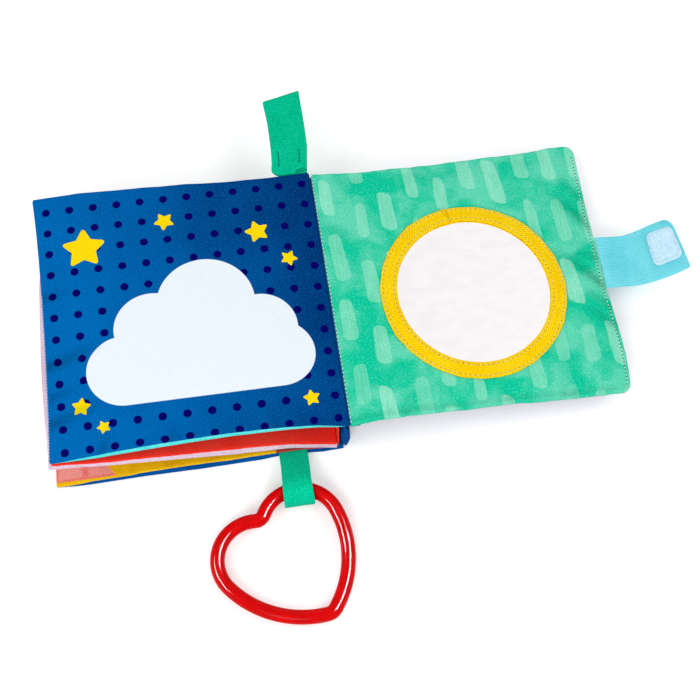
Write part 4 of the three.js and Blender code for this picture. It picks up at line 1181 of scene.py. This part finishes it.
inset = np.array(HOOK_PATCH) + SEAM_INSET * np.array((1, -1, 1, -1))
patch_rows = [tab_row(rounded_loop(*inset, 2.2), PATCH_LIFT + PATCH_HALF),
              tab_row(line((190.4, -2.3), (195.2, -8.2), 12), TAB_HALF)]
patch_seam = stitches("hook_patch_stitching", patch_rows, [PALE_THREAD, HOLE_SHADE_BLUE], 1.5, 2.0, 0.2, False)
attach(patch_seam, "closure_tab")

pile = patch_piece("loop_patch", ROW, patch_grid(*LOOP_PATCH, *[PATCH_CORNER] * 3),
                   lambda u, v: (np.stack([u, v, np.full_like(u, PILE_LEVEL)], -1), UP), PILE_HALF, LOOP_PILE)
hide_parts("fastener_loop_patch")
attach(pile, "front_cover")


# Mirror ring

RING_RIM = (0, 0.2, 0.5, 1.0)
RING_STEPS = 144
RING_JOIN = 1.72  # the angle where the tape's end laps over its start
RING_GAP = 0.006
RING_MEAN = 46.0
RING_CENTRE = (77.25, -7.0)
RING_OVAL = (0.995, 1.018)
RING_TAPE = 0.95
RING_LEVEL, RING_LAP = -0.68, 0.7  # the tape's underside on the cloth, and its rise where it laps over
LAP_FROM, LAP_RUN, JOIN_RUN = 4.0, 1.6, 8.0  # where it comes down across the tape, over how far, and after the join
RING_WAVES, RING_UNEVEN, RING_PUCKER = (5, 9, 14, 23, 31), 0.28, 0.12
RING_ROWS = (49.0, 43.3)


def ring_spots(radius, angle):
    """(u, v) places on the slightly oval ring."""
    return np.stack([RING_CENTRE[0] + RING_OVAL[0] * radius * np.cos(angle),
                     RING_CENTRE[1] + RING_OVAL[1] * radius * np.sin(angle)], -1)


def ring_piece():
    """Twill tape bent round, lapped over the film's edge, eased in small puckers along its outer edge."""
    width = RING_OUTER - RING_INNER
    angle = RING_JOIN + math.tau * np.arange(RING_STEPS) / RING_STEPS
    angle = np.concatenate([angle, angle[:1] + math.tau - RING_GAP])
    a, q = np.meshgrid(angle, stations(width, RING_RIM, 1.1), indexing="ij")
    chance = np.random.default_rng(4)
    waves = (chance.uniform(0.5, 1) * np.sin(k * a + chance.uniform(0, math.tau)) for k in RING_WAVES)
    uneven = sum(waves) / 3
    radius = RING_INNER + q + RING_UNEVEN * uneven * (q / width) ** 2
    over = 1 - np.clip((q - LAP_FROM) / LAP_RUN, 0, 1)
    low = RING_LEVEL + RING_LAP * (over * over * (3 - 2 * over))
    joined = RING_LAP * np.exp(-(a - RING_JOIN) * RING_MEAN / JOIN_RUN)
    high = low + RING_TAPE + RING_PUCKER * uneven * (q > 1) + joined
    middle = (low + high) / 2
    half = np.minimum((high - low) / 2, rim_half(np.minimum(q, width - q), 0.5) * (high - low))
    spots = ring_spots(radius, a)
    count, columns = a.shape
    size = count * columns
    sheets = [np.concatenate([spots, w[..., None]], -1) for w in (middle + half, middle - half)]
    points = np.concatenate(sheets).reshape(-1, 3)
    uv = np.tile(np.stack([a * RING_MEAN, q], -1).reshape(-1, 2), (2, 1))
    faces = []
    for i in range(count):
        n = (i + 1) % count
        for j in range(columns - 1):
            quad = [i * columns + j, i * columns + j + 1, n * columns + j + 1, n * columns + j]
            faces.append(quad)
            faces.append([size + k for k in reversed(quad)])
        for j, turn in ((0, False), (columns - 1, True)):
            wall = [i * columns + j, n * columns + j, size + n * columns + j, size + i * columns + j]
            faces.append(wall[::-1] if turn else wall)
    made = new_piece("mirror_ring_twill", BACK.out(points), faces, [YELLOW], None, uv)
    layer, loops = made.data.uv_layers["cloth"].uv, made.data.loops
    for face in made.data.polygons:
        rows = {k: loops[k].vertex_index // columns % count for k in face.loop_indices}
        if {0, count - 1} <= set(rows.values()):
            for k, row in rows.items():
                if row == 0:
                    layer[k].vector[0] += math.tau * RING_MEAN / UV_UNIT
    return made, BVHTree.FromPolygons(points.tolist(), faces)


ring, ring_tree = ring_piece()
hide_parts("mirror_ring")
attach(ring, "back_cover")
around = np.linspace(0, math.tau, 240)
ring_rows = [touched(ring_tree, BACK, ring_spots(radius, around)) for radius in RING_ROWS]
ring_seam = stitches("mirror_ring_stitching", ring_rows, [YELLOW_THREAD, HOLE_SHADE_BROWN], 1.7, 2.7, 0.24)
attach(ring_seam, "back_cover")
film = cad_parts["mirror_film"]
film.data.materials.clear()
film.data.materials.append(silver_film())


# Sewn rows on the panels

def sewn(name, rows, body, slot, materials=(WHITE_THREAD, HOLE_SHADE_GREEN), **sizes):
    made = stitches(name, rows, list(materials), **sizes)
    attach(made, body)


def edge_line(panel, distance, reach, count=140):
    """(u, v) places at a distance inside a panel's fore edge, as that lies, between two places along it."""
    v = np.linspace(*reach, count)
    rim = panel.fore_rim[np.argsort(panel.fore_rim[:, 1])]
    return np.stack([np.interp(v, rim[:, 1], rim[:, 0]) - distance, v], -1)


cover_edge, middle_edge = edge_line(cover, 2.2, (-71, 71)), edge_line(middle, 1.6, (-72, 72))
sewn("back_cover_stitching", [cover.on(cover_edge), cover.on(cover_edge, -1)],
     "back_cover", "green_cloth", length=1.25, pitch=2.1, thick=0.22, hole=0.42)
sewn("gutter_stitching", [cover.on(line((0.55, -74.2), (0.55, 74.2), 120))],
     "back_cover", "green_cloth", (WHITE_THREAD, HOLE_SHADE_BLUE), length=1.55, pitch=2.3, thick=0.27)
sewn("top_leaf_stitching", [top.on(edge_line(top, 0.35, (-73, 20)))],
     "top_leaf", "blue_cloth", (WHITE_THREAD, HOLE_SHADE_BLUE), length=0.8, pitch=1.7, thick=0.13, holes=False)
sewn("middle_leaf_stitching", [middle.on(middle_edge), middle.on(middle_edge, -1)],
     "middle_leaf", "lavender_cloth", (WHITE_THREAD, HOLE_SHADE_BROWN), length=1.5, pitch=2.6, thick=0.18)
sewn("front_cover_stitching", [front.on(edge_line(front, 2.2, (-68, 68)))],
     "front_cover", "salmon_cloth", (WHITE_THREAD, HOLE_SHADE_BROWN), length=1.5, pitch=2.6, thick=0.18)


# Heart ring

HEART_SIDES, HEART_COUNT = 20, 260
HEART_SEAM, HEART_SEAM_WIDTH = 0.012, 0.5  # how far the mould seam stands out, as a share of the tube
HEART_TURN, HEART_TILT = math.radians(29.4), math.radians(2.622)
HEART_FROM_HINGE, HEART_HINGE = (-13.51, -26.04, 0), (48.4, -99.26, 6.95)


def heart_line():
    """The heart's closed centreline: two lobes, two bowed sides, a rounded tip and a rounded notch."""
    lobe, half_spread, side, depth, tip, notch = 20.2, 13.9, 53.8, 39.4, 5.2, 4.45
    bow = side - lobe
    apart = math.hypot(half_spread, depth)
    share = (apart ** 2 + bow ** 2 - (side - tip) ** 2) / (2 * apart * bow)
    start = math.atan2(depth, half_spread) - math.acos(share)
    x, y = half_spread - bow * math.cos(start), -bow * math.sin(start)
    end = math.atan2(-depth - y, -x)
    notch_y = math.sqrt((lobe + notch) ** 2 - half_spread ** 2)
    turn = math.degrees(math.atan2(notch_y, -half_spread))
    start, end = math.degrees(start), math.degrees(end)
    points = np.concatenate([
        arc((half_spread, 0), lobe, turn, start, 60)[:-1],
        arc((x, y), side, start, end, 40)[:-1],
        arc((0, -depth), tip, end, -180 - end, 16)[:-1],
        arc((-x, y), side, -180 - end, -180 - start, 40)[:-1],
        arc((-half_spread, 0), lobe, -180 - start, -180 - turn, 60)[:-1],
        arc((0, notch_y), notch, -turn, turn - 180, 14)[:-1],
    ])
    closed = np.concatenate([points, points[:1]])
    gone = travelled(closed)
    out = sample(np.linspace(0, gone[-1], HEART_COUNT, endpoint=False), gone, closed)
    for _ in range(2):
        out = (np.roll(out, 1, 0) + 2 * out + np.roll(out, -1, 0)) / 4
    return out


def heart_piece():
    """A round tube along the heart's line, with a faint mould seam, tilted into the strap's fold."""
    centre = heart_line()
    tangent = np.roll(centre, -1, 0) - np.roll(centre, 1, 0)
    tangent /= np.linalg.norm(tangent, axis=1)[:, None]
    outward = np.stack([-tangent[:, 1], tangent[:, 0]], -1)
    angle = math.tau * np.arange(HEART_SIDES) / HEART_SIDES
    lift = HEART_TUBE * np.sin(angle)
    seam = 1 + HEART_SEAM * np.exp(-(lift / HEART_SEAM_WIDTH) ** 2)
    reach = HEART_TUBE * np.cos(angle) * seam
    flat = centre[:, None, :] + outward[:, None, :] * reach[None, :, None]
    lifts = np.broadcast_to(lift[None, :, None], (HEART_COUNT, HEART_SIDES, 1))
    points = np.concatenate([flat, lifts], -1).reshape(-1, 3)
    points = points @ np.array(Matrix.Rotation(HEART_TURN, 3, "Z")).T + HEART_FROM_HINGE
    points = points @ np.array(Matrix.Rotation(HEART_TILT, 3, "X")).T + HEART_HINGE
    faces = []
    for i in range(HEART_COUNT):
        a, b = i * HEART_SIDES, (i + 1) % HEART_COUNT * HEART_SIDES
        for k in range(HEART_SIDES):
            m = (k + 1) % HEART_SIDES
            faces.append((a + k, a + m, b + m, b + k))
    return new_piece("heart_ring_gloss", points, faces, [glossy_red()])


heart = heart_piece()
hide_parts("heart_ring")
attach(heart, "heart_ring")
GLOSSY.objects.link(heart)

bpy.context.scene.view_settings.view_transform = "Standard"
